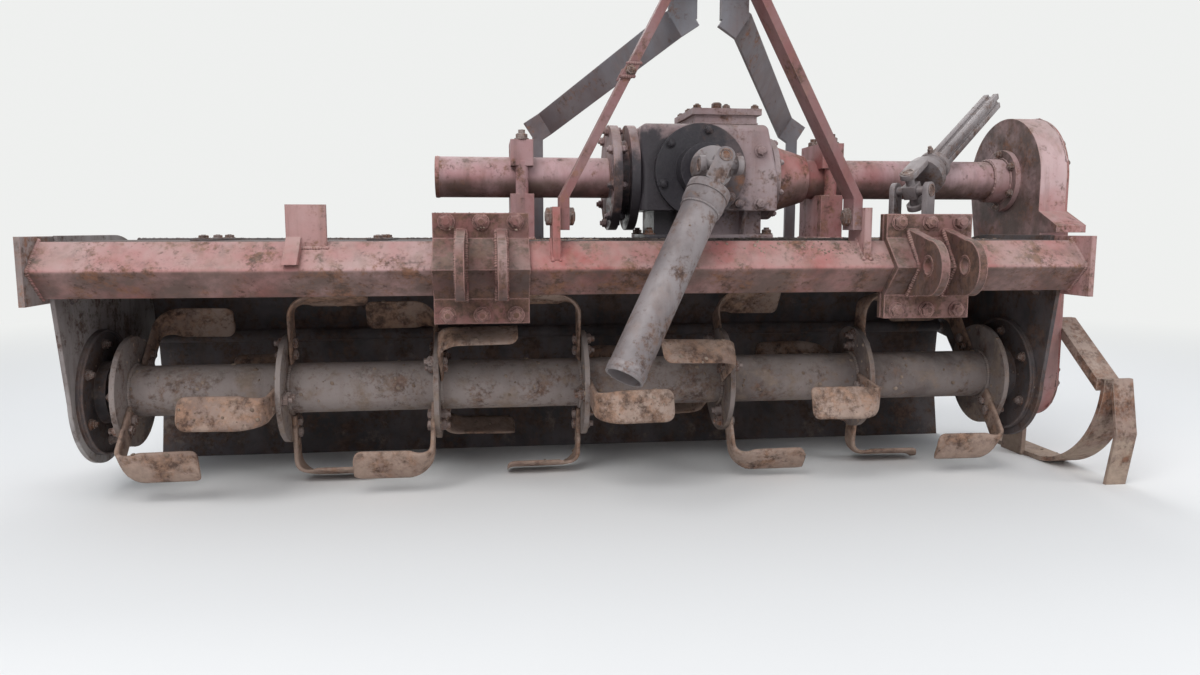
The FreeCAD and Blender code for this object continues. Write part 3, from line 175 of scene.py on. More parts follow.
def wear_group() -> bpy.types.NodeTree:
    """Masks of an old outdoor surface.

    Returns:
        A group with the masks Tone, Rust, Edge, Dust, Streak, Fade, the height Grain and a rounded Normal.
    """
    t = Tree.group("outdoor_wear", "ShaderNodeTree")
    for name, default in (("Scale", 1.0), ("Rust", 0.4), ("Dust", 0.4), ("Edge Radius", 0.004), ("Seed", 0.0)):
        t.takes(name, "NodeSocketFloat", default)
    for name in ("Tone", "Rust", "Edge", "Dust", "Streak", "Fade", "Grain"):
        t.gives(name, "NodeSocketFloat")
    t.gives("Normal", "NodeSocketVector")
    start = t.add("NodeGroupInput")
    end = t.add("NodeGroupOutput")
    place = t.add("ShaderNodeTexCoord")
    shift = t.add("ShaderNodeVectorMath", operation="ADD")
    t.put(shift.inputs[0], place.outputs["Object"])
    t.put(shift.inputs[1], start.outputs["Seed"])
    at = shift.outputs[0]
    scale = start.outputs["Scale"]

    tone = t.noise(at, t.math("MULTIPLY", scale, 6.0), 6.0, 0.62)
    t.put(end.inputs["Tone"], t.span(tone, 0.36, 0.64))
    chalk = t.noise(at, t.math("MULTIPLY", scale, 2.4), 5.0, 0.6)
    t.put(end.inputs["Fade"], t.span(chalk, 0.42, 0.66))

    patch = t.noise(at, t.math("MULTIPLY", scale, 15.0), 9.0, 0.7)
    speck = t.noise(at, t.math("MULTIPLY", scale, 110.0), 4.0, 0.7)
    both = t.math("ADD", t.math("MULTIPLY", patch, 0.66), t.math("MULTIPLY", speck, 0.34))
    bar = t.math("SUBTRACT", 0.71, t.math("MULTIPLY", start.outputs["Rust"], 0.4))
    t.put(end.inputs["Rust"], t.span(both, t.math("SUBTRACT", bar, 0.07), t.math("ADD", bar, 0.06)))

    bevel = t.add("ShaderNodeBevel", samples=4)
    t.put(bevel.inputs["Radius"], start.outputs["Edge Radius"])
    t.put(end.inputs["Normal"], bevel.outputs[0])
    face = t.add("ShaderNodeNewGeometry")
    dot = t.add("ShaderNodeVectorMath", operation="DOT_PRODUCT")
    t.put(dot.inputs[0], bevel.outputs[0])
    t.put(dot.inputs[1], face.outputs["Normal"])
    bend = t.math("SUBTRACT", 1.0, dot.outputs["Value"])
    worn = t.math("MULTIPLY", t.span(bend, 0.01, 0.12), t.span(patch, 0.36, 0.55))
    t.put(end.inputs["Edge"], worn)

    normal = t.add("ShaderNodeSeparateXYZ")
    t.put(normal.inputs[0], place.outputs["Normal"])
    up = t.span(normal.outputs[2], 0.1, 0.95)
    settled = t.math("MULTIPLY", t.math("ADD", t.math("MULTIPLY", up, 0.75), 0.25), start.outputs["Dust"])
    drift = t.span(t.noise(at, t.math("MULTIPLY", scale, 12.0), 7.0, 0.66), 0.36, 0.64)
    t.put(end.inputs["Dust"], t.math("MULTIPLY", settled, t.math("ADD", t.math("MULTIPLY", drift, 0.75), 0.25),
                                     clamp=True))

    stretch = t.add("ShaderNodeVectorMath", operation="MULTIPLY")
    t.put(stretch.inputs[0], at)
    t.put(stretch.inputs[1], (38.0, 38.0, 3.0))
    runs = t.noise(stretch.outputs[0], scale, 5.0, 0.6)
    t.put(end.inputs["Streak"], t.span(runs, 0.45, 0.68))

    pits = t.noise(at, t.math("MULTIPLY", scale, 240.0), 3.0, 0.6)
    t.put(end.inputs["Grain"], t.math("ADD", t.math("MULTIPLY", pits, 0.55), t.math("MULTIPLY", speck, 0.45)))
    return t.tree


def rust_group() -> bpy.types.NodeTree:
    """Colours of rust, from dark scale to orange bloom.

    Returns:
        A group that puts out Colour.
    """
    t = Tree.group("rust_bloom", "ShaderNodeTree")
    t.takes("Scale", "NodeSocketFloat", 1.0)
    t.takes("Dark", "NodeSocketColor", (0.045, 0.022, 0.016, 1.0))
    t.takes("Bloom", "NodeSocketColor", (0.23, 0.1, 0.055, 1.0))
    t.gives("Colour", "NodeSocketColor")
    start = t.add("NodeGroupInput")
    end = t.add("NodeGroupOutput")
    place = t.add("ShaderNodeTexCoord")
    spots = t.noise(place.outputs["Object"], t.math("MULTIPLY", start.outputs["Scale"], 48.0), 6.0, 0.7)
    t.put(end.inputs["Colour"], t.mix(t.span(spots, 0.36, 0.64), start.outputs["Dark"], start.outputs["Bloom"]))
    return t.tree


def painted_shade_group() -> bpy.types.NodeTree:
    """Mask of painted shade on the faces that look one way, such as the underside, broken up by noise.

    Returns:
        A group that puts out the painted shade mask.
    """
    t = Tree.group("painted_side_shade", "ShaderNodeTree")
    t.takes("Facing", "NodeSocketVector", (0.0, 0.0, -1.0))
    t.takes("Amount", "NodeSocketFloat", 0.7)
    t.gives("Painted Shade", "NodeSocketFloat")
    start = t.add("NodeGroupInput")
    end = t.add("NodeGroupOutput")
    place = t.add("ShaderNodeTexCoord")
    dot = t.add("ShaderNodeVectorMath", operation="DOT_PRODUCT")
    t.put(dot.inputs[0], place.outputs["Normal"])
    t.put(dot.inputs[1], start.outputs["Facing"])
    # painted shade: faces turned towards Facing are darkened, whatever the light
    turned = t.span(dot.outputs["Value"], 0.2, 0.75)
    patch = t.span(t.noise(place.outputs["Object"], 14.0, 8.0, 0.68), 0.3, 0.62)
    ragged = t.math("ADD", t.math("MULTIPLY", patch, 0.6), 0.4)
    t.put(end.inputs["Painted Shade"], t.math("MULTIPLY", t.math("MULTIPLY", turned, ragged), start.outputs["Amount"],
                                      clamp=True))
    return t.tree


def soil_group() -> bpy.types.NodeTree:
    """Mask of soil that clings in lumps, thicker towards the ground.

    Returns:
        A group that puts out the mask Soil and the height Lumps.
    """
    t = Tree.group("clinging_soil", "ShaderNodeTree")
    for name, default in (("Amount", 0.5), ("Low", 0.0), ("High", 0.35)):
        t.takes(name, "NodeSocketFloat", default)
    t.gives("Soil", "NodeSocketFloat")
    t.gives("Lumps", "NodeSocketFloat")
    start = t.add("NodeGroupInput")
    end = t.add("NodeGroupOutput")
    place = t.add("ShaderNodeTexCoord")
    parts = t.add("ShaderNodeSeparateXYZ")
    t.put(parts.inputs[0], place.outputs["Object"])
    height = t.span(parts.outputs[2], start.outputs["Low"], start.outputs["High"], 1.0, 0.35)
    cling = t.noise(place.outputs["Object"], 17.0, 8.0, 0.68)
    bar = t.math("SUBTRACT", 0.74, t.math("MULTIPLY", t.math("MULTIPLY", height, start.outputs["Amount"]), 0.5))
    t.put(end.inputs["Soil"], t.span(cling, t.math("SUBTRACT", bar, 0.08), t.math("ADD", bar, 0.08)))
    lumps = t.noise(place.outputs["Object"], 75.0, 6.0, 0.64)
    t.put(end.inputs["Lumps"], lumps)
    return t.tree


def grease_and_shade_group() -> bpy.types.NodeTree:
    """Mask of old grease and painted shade, spread from one point and run down to another.

    Returns:
        A group that puts out the mask of grease and painted shade.
    """
    t = Tree.group("thrown_grease_and_painted_shade", "ShaderNodeTree")
    t.takes("Centre", "NodeSocketVector", (0.0, 0.0, 0.0))
    t.takes("Run", "NodeSocketVector", (0.0, 0.0, 0.0))
    t.takes("Reach", "NodeSocketFloat", 0.15)
    t.gives("Grease And Shade", "NodeSocketFloat")
    start = t.add("NodeGroupInput")
    end = t.add("NodeGroupOutput")
    place = t.add("ShaderNodeTexCoord")
    broad = t.math("MULTIPLY", t.math("SUBTRACT", t.noise(place.outputs["Object"], 13.0, 7.0, 0.62), 0.5), 0.26)
    fine = t.math("MULTIPLY", t.math("SUBTRACT", t.noise(place.outputs["Object"], 70.0, 4.0, 0.6), 0.5), 0.05)
    reach = t.math("ADD", start.outputs["Reach"], t.math("ADD", broad, fine))
    # real grease joined with painted shade: a dark patch round Centre and Run
    gaps = []
    for end_point, share in (("Centre", 1.0), ("Run", 0.85)):
        away = t.add("ShaderNodeVectorMath", operation="DISTANCE")
        t.put(away.inputs[0], place.outputs["Object"])
        t.put(away.inputs[1], start.outputs[end_point])
        gaps.append(t.math("SUBTRACT", t.math("MULTIPLY", reach, share), away.outputs["Value"]))
    t.put(end.inputs["Grease And Shade"], t.span(t.math("MAXIMUM", gaps[0], gaps[1]), -0.03, 0.022))
    return t.tree


@dataclass(frozen=True)
class Effects:
    """The shared shader groups."""

    wear: bpy.types.NodeTree
    rust: bpy.types.NodeTree
    side_shade: bpy.types.NodeTree
    soil: bpy.types.NodeTree
    grease_and_shade: bpy.types.NodeTree


# Finishes


@dataclass(frozen=True)
class Finish:
    """Finish of some pieces, as an old painted or bare surface.

    Colours are linear. Amounts run from 0 to 1, sizes are in metres.
    """

    name: str
    slot: str
    deep: Colour
    pale: Colour
    edge: Colour
    dust_colour: Colour
    faded: Colour | None = None
    rust_dark: Colour = (0.05, 0.025, 0.018)
    rust_bloom: Colour = (0.22, 0.1, 0.058)
    rust: float = 0.4
    dust: float = 0.5
    streaks: float = 0.25
    scale: float = 1.0
    edge_radius: float = 0.003
    edge_amount: float = 0.7
    roughness: float = 0.62
    rust_roughness: float = 0.88
    metallic: float = 0.0
    bump: float = 0.35
    bump_depth: float = 0.0016
    # painted shade: faces that look one way are darkened towards a dark colour
    shade_facing: tuple[float, float, float] = (0.0, -0.3, -0.95)
    shade_amount: float = 0.0
    shade_colour: Colour = (0.075, 0.042, 0.034)
    soil: float = 0.0
    soil_colour: Colour = (0.26, 0.17, 0.11)
    soil_high: float = 0.4
    # round dark patch of real grease joined with painted shade
    grease_shade_at: tuple[float, float, float] | None = None
    grease_shade_run: tuple[float, float, float] = (0.0, 0.0, 0.0)
    grease_shade_reach: float = 0.15
    seed: float = 0.0

    def build(self, effects: Effects) -> bpy.types.Material:
        """Make the material.

        Args:
            effects: the shared shader groups.

        Returns:
            The material.
        """
        material = bpy.data.materials.new(self.name)
        material.use_nodes = True
        t = Tree(material.node_tree)
        shader = t.tree.nodes["Principled BSDF"]

        wear = t.add("ShaderNodeGroup", node_tree=effects.wear)
        t.feed(wear, Scale=self.scale, Rust=self.rust, Dust=self.dust, Edge_Radius=self.edge_radius,
               Seed=self.seed)
        rust = t.add("ShaderNodeGroup", node_tree=effects.rust)
        t.feed(rust, Scale=self.scale, Dark=rgba(self.rust_dark), Bloom=rgba(self.rust_bloom))

        colour = t.mix(wear.outputs["Tone"], self.deep, self.pale)
        if self.faded is not None:
            colour = t.mix(wear.outputs["Fade"], colour, self.faded)
        colour = t.mix(t.math("MULTIPLY", wear.outputs["Streak"], self.streaks), colour, rust.outputs["Colour"])
        # painted shade on the faces that look one way
        if self.shade_amount > 0.0:
            side = t.add("ShaderNodeGroup", node_tree=effects.side_shade)
            t.feed(side, Facing=self.shade_facing, Amount=self.shade_amount)
            colour = t.mix(side.outputs["Painted Shade"], colour, self.shade_colour)
        colour = t.mix(wear.outputs["Rust"], colour, rust.outputs["Colour"])
        colour = t.mix(t.math("MULTIPLY", wear.outputs["Edge"], self.edge_amount), colour, self.edge)
        colour = t.mix(wear.outputs["Dust"], colour, self.dust_colour)
        rough = t.span(wear.outputs["Rust"], 0.0, 1.0, self.roughness, self.rust_roughness)
        height = t.math("ADD", wear.outputs["Grain"], t.math("MULTIPLY", wear.outputs["Rust"], -0.35))

        if self.soil > 0.0:
            cling = t.add("ShaderNodeGroup", node_tree=effects.soil)
            t.feed(cling, Amount=self.soil, Low=0.0, High=self.soil_high)
            shade = t.mix(cling.outputs["Lumps"], tuple(0.5 * c for c in self.soil_colour),
                          tuple(1.4 * c for c in self.soil_colour))
            colour = t.mix(cling.outputs["Soil"], colour, shade)
            rough = t.math("MAXIMUM", rough, t.math("MULTIPLY", cling.outputs["Soil"], 0.95))
            caked = t.math("MULTIPLY", cling.outputs["Soil"], t.math("ADD", cling.outputs["Lumps"], 0.6))
            height = t.math("ADD", height, t.math("MULTIPLY", caked, 1.6))
        # dark patch of grease and painted shade, glossier and raised
        if self.grease_shade_at is not None:
            grease_and_shade_node = t.add("ShaderNodeGroup", node_tree=effects.grease_and_shade)
            t.feed(grease_and_shade_node, Centre=self.grease_shade_at, Run=self.grease_shade_run, Reach=self.grease_shade_reach)
            mask = grease_and_shade_node.outputs["Grease And Shade"]
            grease_and_shade = t.mix(wear.outputs["Grain"], (0.013, 0.012, 0.016), (0.06, 0.055, 0.064))
            colour = t.mix(t.math("MULTIPLY", mask, 0.95), colour, grease_and_shade)
            rough = t.math("SUBTRACT", rough, t.math("MULTIPLY", mask, 0.28))
            height = t.math("ADD", height, t.math("MULTIPLY", mask, 0.5))

        t.put(shader.inputs["Base Color"], colour)
        t.put(shader.inputs["Roughness"], rough)
        shader.inputs["Metallic"].default_value = self.metallic
        shader.inputs["Specular IOR Level"].default_value = 0.35
        bump = t.add("ShaderNodeBump")
        bump.inputs["Strength"].default_value = self.bump
        bump.inputs["Distance"].default_value = self.bump_depth
        t.put(bump.inputs["Height"], height)
        t.put(bump.inputs["Normal"], wear.outputs["Normal"])
        t.put(shader.inputs["Normal"], bump.outputs[0])
        return material


DUST = (0.35, 0.285, 0.25)
# direction of the underside, whose faces take painted shade
BELOW = (0.0, -0.35, -0.94)

# RED and the finishes made from it darken their undersides with painted shade
RED = Finish("faded_red_paint", "red_paint", deep=(0.32, 0.078, 0.068), pale=(0.38, 0.17, 0.16),
             faded=(0.44, 0.27, 0.26), edge=(0.46, 0.28, 0.25), dust_colour=DUST, rust=0.4, dust=0.45,
             streaks=0.4, roughness=0.58, shade_amount=1.0, shade_facing=BELOW,
             shade_colour=(0.105, 0.06, 0.05), seed=1.3)
DARK = Finish("soiled_dark_paint", "dark_paint", deep=(0.042, 0.037, 0.04), pale=(0.098, 0.082, 0.084),
              edge=(0.22, 0.16, 0.145), dust_colour=(0.2, 0.17, 0.16), rust=0.45, dust=0.5, streaks=0.45,
              roughness=0.72, rust_bloom=(0.115, 0.068, 0.05), soil=0.24, soil_colour=(0.19, 0.145, 0.12),
              soil_high=0.3, seed=4.1)
# painted shade on the casting's underside, and a dark patch of grease and painted shade below and left of the input
CASTING = Finish("cast_iron_grease_and_painted_shade", "gearbox_iron", deep=(0.24, 0.13, 0.125), pale=(0.35, 0.255, 0.262),
                 faded=(0.42, 0.34, 0.35), edge=(0.42, 0.31, 0.29), dust_colour=(0.34, 0.285, 0.265), rust=0.34,
                 dust=0.65, roughness=0.6, bump=0.6, bump_depth=0.0024, shade_amount=0.6, shade_facing=BELOW,
                 seed=7.7, grease_shade_at=(0.128, -0.02, 0.618), grease_shade_run=(0.075, 0.03, 0.525),
                 grease_shade_reach=0.122)
BLADES = Finish("rusty_blade_steel", "blade_steel", deep=(0.15, 0.092, 0.075), pale=(0.32, 0.22, 0.175),
                faded=(0.4, 0.3, 0.25), edge=(0.42, 0.31, 0.25), dust_colour=(0.37, 0.275, 0.22), rust=0.55,
                dust=0.5, streaks=0.3, roughness=0.8, rust_bloom=(0.31, 0.18, 0.12), soil=0.55,
                soil_colour=(0.35, 0.25, 0.2), soil_high=0.25, edge_radius=0.002, seed=5.2)
SHAFT = Finish("bare_shaft_steel", "shaft_steel", deep=(0.13, 0.11, 0.112), pale=(0.24, 0.208, 0.21),
               faded=(0.3, 0.27, 0.272), edge=(0.4, 0.36, 0.35), dust_colour=(0.33, 0.29, 0.285), rust=0.38,
               dust=0.45, streaks=0.35, roughness=0.58, metallic=0.2, rust_bloom=(0.19, 0.115, 0.085),
               edge_radius=0.002, seed=8.8)

FINISHES: dict[str, Finish] = {
    "red_paint": RED,
    "dark_paint": DARK,
    "gearbox_iron": CASTING,
    "rotor_steel": Finish("dusty_rotor_steel", "rotor_steel", deep=(0.1, 0.077, 0.072),
                          pale=(0.2, 0.165, 0.155), faded=(0.27, 0.225, 0.21), edge=(0.32, 0.255, 0.225),
                          dust_colour=(0.31, 0.26, 0.235), rust=0.4, dust=0.75, streaks=0.2, roughness=0.85,
                          rust_bloom=(0.18, 0.105, 0.075), soil=0.42, soil_colour=(0.24, 0.18, 0.145),
                          soil_high=0.5, seed=2.9),
    "blade_steel": BLADES,
    "shaft_steel": SHAFT,
    "pin_steel": Finish("worn_pin_steel", "pin_steel", deep=(0.14, 0.1, 0.09), pale=(0.3, 0.245, 0.23),
                        edge=(0.5, 0.45, 0.43), dust_colour=DUST, rust=0.5, dust=0.35, roughness=0.5,
                        metallic=0.3, scale=2.0, edge_radius=0.001, seed=3.3),
    "skid_steel": Finish("scuffed_skid_steel", "skid_steel", deep=(0.15, 0.085, 0.068),
                         pale=(0.32, 0.22, 0.18), faded=(0.4, 0.3, 0.25), edge=(0.48, 0.38, 0.32),
                         dust_colour=(0.38, 0.3, 0.25), rust=0.5, dust=0.55, streaks=0.35, roughness=0.75,
                         soil=0.5, soil_colour=(0.36, 0.27, 0.21), soil_high=0.3, seed=6.4),
    "mast_paint": replace(RED, name="weathered_mast_paint", deep=(0.2, 0.077, 0.076),
                          pale=(0.22, 0.118, 0.122), faded=(0.235, 0.163, 0.172), edge=(0.36, 0.23, 0.21),
                          rust=0.34, dust=0.35, shade_amount=0.5, seed=9.6),
    "stay_paint": replace(RED, name="grey_stay_paint", deep=(0.135, 0.11, 0.117), pale=(0.18, 0.17, 0.187),
                          faded=(0.2, 0.21, 0.235), edge=(0.3, 0.26, 0.27), rust=0.3, dust=0.35,
                          streaks=0.25, shade_amount=0.4, seed=11.2),
    # painted shade on the clamps' faces that look left, to the front and down
    "clamp_paint": replace(RED, name="clamp_paint_with_painted_shade", deep=(0.19, 0.07, 0.062),
                           pale=(0.25, 0.13, 0.122), faded=(0.29, 0.195, 0.185), edge=(0.52, 0.29, 0.26),
                           rust=0.52, dust=0.42, rust_bloom=(0.15, 0.075, 0.05), shade_amount=1.0,
                           shade_facing=(-0.72, -0.28, -0.64), shade_colour=(0.07, 0.042, 0.036),
                           edge_radius=0.004, edge_amount=0.95, seed=12.1),
    # painted shade on the case's faces that look left
    "case_paint": replace(RED, name="drive_case_paint", pale=(0.42, 0.24, 0.235), faded=(0.52, 0.37, 0.37),
                          rust=0.34, shade_amount=1.0, shade_facing=(-1.0, 0.0, 0.0),
                          shade_colour=(0.068, 0.041, 0.036), seed=14.2),
    # dark patch of grease and painted shade on the rings below the tube
    "ring_paint": replace(RED, name="dull_ring_paint", deep=(0.19, 0.105, 0.105), pale=(0.27, 0.18, 0.185),
                          faded=(0.3, 0.24, 0.25), rust=0.42, grease_shade_at=(0.07, -0.02, 0.56),
                          grease_shade_run=(0.05, 0.05, 0.53), grease_shade_reach=0.085, seed=10.4),
    "tube_paint": replace(RED, name="sunned_tube_paint", deep=(0.3, 0.1, 0.095), pale=(0.42, 0.225, 0.23),
                          faded=(0.5, 0.34, 0.355), rust=0.34, seed=25.7),
    "end_paint": replace(RED, name="scoured_end_paint", deep=(0.15, 0.125, 0.12), pale=(0.24, 0.205, 0.2),
                         faded=(0.26, 0.24, 0.235), rust=0.45, dust=0.6, seed=15.8),
    "plate_paint": replace(DARK, name="dusty_side_plate", deep=(0.2, 0.17, 0.163), pale=(0.32, 0.287, 0.278),
                           faded=(0.37, 0.345, 0.335), rust=0.36, dust=0.6, soil=0.35, seed=17.3),
    # input cover: dark base and a patch of grease with painted shade
    "grease_and_painted_shade_iron": replace(CASTING, name="input_cover_grease_and_painted_shade", deep=(0.05, 0.038, 0.043), pale=(0.1, 0.08, 0.086),
                           faded=(0.15, 0.125, 0.132), dust=0.3, grease_shade_at=(0.1, -0.04, 0.655),
                           grease_shade_run=(0.11, -0.03, 0.58), grease_shade_reach=0.12, seed=19.9),
    "soil": Finish("caked_soil", "blade_steel", deep=(0.13, 0.085, 0.062), pale=(0.26, 0.185, 0.14),
                   faded=(0.33, 0.25, 0.2), edge=(0.3, 0.22, 0.17), dust_colour=(0.34, 0.27, 0.215), rust=0.3,
                   rust_dark=(0.09, 0.055, 0.04), rust_bloom=(0.2, 0.13, 0.09), dust=0.5, streaks=0.0,
                   scale=2.0, edge_amount=0.2, roughness=0.95, bump=0.8, bump_depth=0.002, seed=21.0),
    "black_grime": Finish("oily_grime", "dark_paint", deep=(0.018, 0.014, 0.013), pale=(0.05, 0.037, 0.032),
                          edge=(0.08, 0.06, 0.05), dust_colour=(0.12, 0.095, 0.082), rust=0.35,
                          rust_dark=(0.02, 0.015, 0.013), rust_bloom=(0.085, 0.055, 0.042), dust=0.4,
                          streaks=0.0, scale=2.0, edge_amount=0.2, roughness=0.72, bump=0.7, seed=23.0),
}

# Nodes whose finish differs from that of their material slot
NODE_FINISH: dict[str, str] = {
    **dict.fromkeys(("mast_bar_left", "mast_bar_right", "mast_head"), "mast_paint"),
    **dict.fromkeys(("mast_stay_left", "mast_stay_right"), "stay_paint"),
    **dict.fromkeys(("hitch_clamp_left", "hitch_clamp_right", "hitch_clamp_left_back",
                     "hitch_clamp_right_back"), "clamp_paint"),
    **dict.fromkeys(("drive_case", "case_flange"), "case_paint"),
    **dict.fromkeys(("tube_left", "tube_right", "tube_clamp_left", "tube_clamp_right"), "tube_paint"),
    "gearbox_cover": "gearbox_iron",
    "gearbox_rings": "ring_paint",
    "input_cover": "grease_and_painted_shade_iron",
    "end_plate_left": "end_paint",
    "side_plate_left": "plate_paint",
}


# Geometry Nodes trees


class Repeat(Enum):
    """What a repeating tree makes at each point."""

    BOLT = "hex_bolts"
    WELD = "weld_bead"
    BLADE = "rotor_blades"
    CLOD = "soil_clods"


def bolt_tree() -> bpy.types.NodeTree:
    """Bolt heads or nuts on points, each along its point's aim.

    Returns:
        A geometry tree with inputs for the head, the washer, the thread and the number of sides.
    """
    t = Tree.group(Repeat.BOLT.value, "GeometryNodeTree")
    t.takes("Points", "NodeSocketGeometry")
    for name, default in (("Head Radius", 0.012), ("Head Height", 0.009), ("Washer Radius", 0.015),
                          ("Washer Height", 0.0025), ("Thread Radius", 0.006), ("Thread Height", 0.005)):
        t.takes(name, "NodeSocketFloat", default)
    t.takes("Sides", "NodeSocketInt", 6)
    t.takes("Seed", "NodeSocketInt", 3)
    t.takes("Material", "NodeSocketMaterial")
    t.gives("Geometry", "NodeSocketGeometry")
    start = t.add("NodeGroupInput")
    end = t.add("NodeGroupOutput")

    def disc(sides: object, radius: object, depth: object, low: object) -> bpy.types.NodeSocket:
        """Cylinder that stands on a height above the seat."""
        tube = t.add("GeometryNodeMeshCylinder", fill_type="NGON")
        t.feed(tube, Vertices=sides, Radius=radius, Depth=depth)
        lift = t.add("ShaderNodeCombineXYZ")
        t.put(lift.inputs[2], t.math("ADD", low, t.math("MULTIPLY", depth, 0.5)))
        move = t.add("GeometryNodeTransform")
        t.put(move.inputs["Geometry"], tube.outputs["Mesh"])
        t.put(move.inputs["Translation"], lift.outputs[0])
        return move.outputs[0]

    washer_top = start.outputs["Washer Height"]
    head_top = t.math("ADD", washer_top, start.outputs["Head Height"])
    pieces = t.add("GeometryNodeJoinGeometry")
    t.put(pieces.inputs[0], disc(16, start.outputs["Washer Radius"], washer_top, 0.0))
    flat = t.math("MULTIPLY", start.outputs["Head Height"], 0.8)
    t.put(pieces.inputs[0], disc(start.outputs["Sides"], start.outputs["Head Radius"], flat, washer_top))
    t.put(pieces.inputs[0], disc(10, start.outputs["Thread Radius"], start.outputs["Thread Height"], head_top))
    crown = t.add("GeometryNodeMeshCone", fill_type="NGON")
    t.feed(crown, Vertices=start.outputs["Sides"], Radius_Bottom=start.outputs["Head Radius"],
           Radius_Top=t.math("MULTIPLY", start.outputs["Head Radius"], 0.8),
           Depth=t.math("MULTIPLY", start.outputs["Head Height"], 0.2))
    seat = t.add("ShaderNodeCombineXYZ")
    t.put(seat.inputs[2], t.math("ADD", washer_top, flat))
    move_crown = t.add("GeometryNodeTransform")
    t.put(move_crown.inputs["Geometry"], crown.outputs["Mesh"])
    t.put(move_crown.inputs["Translation"], seat.outputs[0])
    t.put(pieces.inputs[0], move_crown.outputs[0])

    aim = t.add("GeometryNodeInputNamedAttribute", data_type="FLOAT_VECTOR")
    aim.inputs["Name"].default_value = "aim"
    along = t.add("FunctionNodeAlignRotationToVector", axis="Z")
    t.put(along.inputs["Vector"], aim.outputs[0])
    angle = t.add("FunctionNodeRandomValue", data_type="FLOAT")
    t.put(angle.inputs[2], 0.0)
    t.put(angle.inputs[3], math.tau)
    t.put(angle.inputs["Seed"], start.outputs["Seed"])
    spin = t.add("FunctionNodeAxisAngleToRotation")
    t.put(spin.inputs["Angle"], angle.outputs[1])
    turned = t.add("FunctionNodeRotateRotation", rotation_space="LOCAL")
    t.put(turned.inputs[0], along.outputs[0])
    t.put(turned.inputs[1], spin.outputs[0])

    spread = t.add("GeometryNodeInstanceOnPoints")
    t.put(spread.inputs["Points"], start.outputs["Points"])
    t.put(spread.inputs["Instance"], pieces.outputs[0])
    t.put(spread.inputs["Rotation"], turned.outputs[0])
    finish_tree(t, spread.outputs[0], start.outputs["Material"], end)
    return t.tree


def weld_tree() -> bpy.types.NodeTree:
    """Weld bead along the edges of a line.

    Returns:
        A geometry tree with inputs for the bead's radius, its pitch and its seed.
    """
    t = Tree.group(Repeat.WELD.value, "GeometryNodeTree")
    t.takes("Points", "NodeSocketGeometry")
    t.takes("Bead Radius", "NodeSocketFloat", 0.004)
    t.takes("Pitch", "NodeSocketFloat", 0.004)
    t.takes("Seed", "NodeSocketInt", 5)
    t.takes("Material", "NodeSocketMaterial")
    t.gives("Geometry", "NodeSocketGeometry")
    start = t.add("NodeGroupInput")
    end = t.add("NodeGroupOutput")
    line = t.add("GeometryNodeMeshToCurve")
    t.put(line.inputs[0], start.outputs["Points"])
    dots = t.add("GeometryNodeResampleCurve", mode="LENGTH")
    t.put(dots.inputs["Curve"], line.outputs[0])
    t.put(dots.inputs["Length"], start.outputs["Pitch"])
    drop = t.add("GeometryNodeMeshIcoSphere")
    t.feed(drop, Radius=start.outputs["Bead Radius"], Subdivisions=2)
    tangent = t.add("GeometryNodeInputTangent")
    along = t.add("FunctionNodeAlignRotationToVector", axis="X")
    t.put(along.inputs["Vector"], tangent.outputs[0])
    size = t.add("FunctionNodeRandomValue", data_type="FLOAT")
    t.put(size.inputs[2], 0.78)
    t.put(size.inputs[3], 1.18)
    t.put(size.inputs["Seed"], start.outputs["Seed"])
    spread = t.add("GeometryNodeInstanceOnPoints")
    t.put(spread.inputs["Points"], dots.outputs[0])
    t.put(spread.inputs["Instance"], drop.outputs[0])
    t.put(spread.inputs["Rotation"], along.outputs[0])
    t.put(spread.inputs["Scale"], size.outputs[1])
    finish_tree(t, spread.outputs[0], start.outputs["Material"], end)
    return t.tree


def blade_tree() -> bpy.types.NodeTree:
    """Copies of one blade, each turned about the rotor by its point's turn.

    Returns:
        A geometry tree with an input for the blade.
    """
    t = Tree.group(Repeat.BLADE.value, "GeometryNodeTree")
    t.takes("Points", "NodeSocketGeometry")
    t.takes("Blade", "NodeSocketObject")
    t.takes("Material", "NodeSocketMaterial")
    t.gives("Geometry", "NodeSocketGeometry")
    start = t.add("NodeGroupInput")
    end = t.add("NodeGroupOutput")
    blade = t.add("GeometryNodeObjectInfo", transform_space="ORIGINAL")
    t.put(blade.inputs["Object"], start.outputs["Blade"])
    turn = t.add("GeometryNodeInputNamedAttribute", data_type="FLOAT")
    turn.inputs["Name"].default_value = "turn"
    spin = t.add("FunctionNodeAxisAngleToRotation")
    spin.inputs["Axis"].default_value = (1.0, 0.0, 0.0)
    t.put(spin.inputs["Angle"], turn.outputs[0])
    spread = t.add("GeometryNodeInstanceOnPoints")
    t.put(spread.inputs["Points"], start.outputs["Points"])
    t.put(spread.inputs["Instance"], blade.outputs["Geometry"])
    t.put(spread.inputs["Rotation"], spin.outputs[0])
    finish_tree(t, spread.outputs[0], start.outputs["Material"], end)
    return t.tree


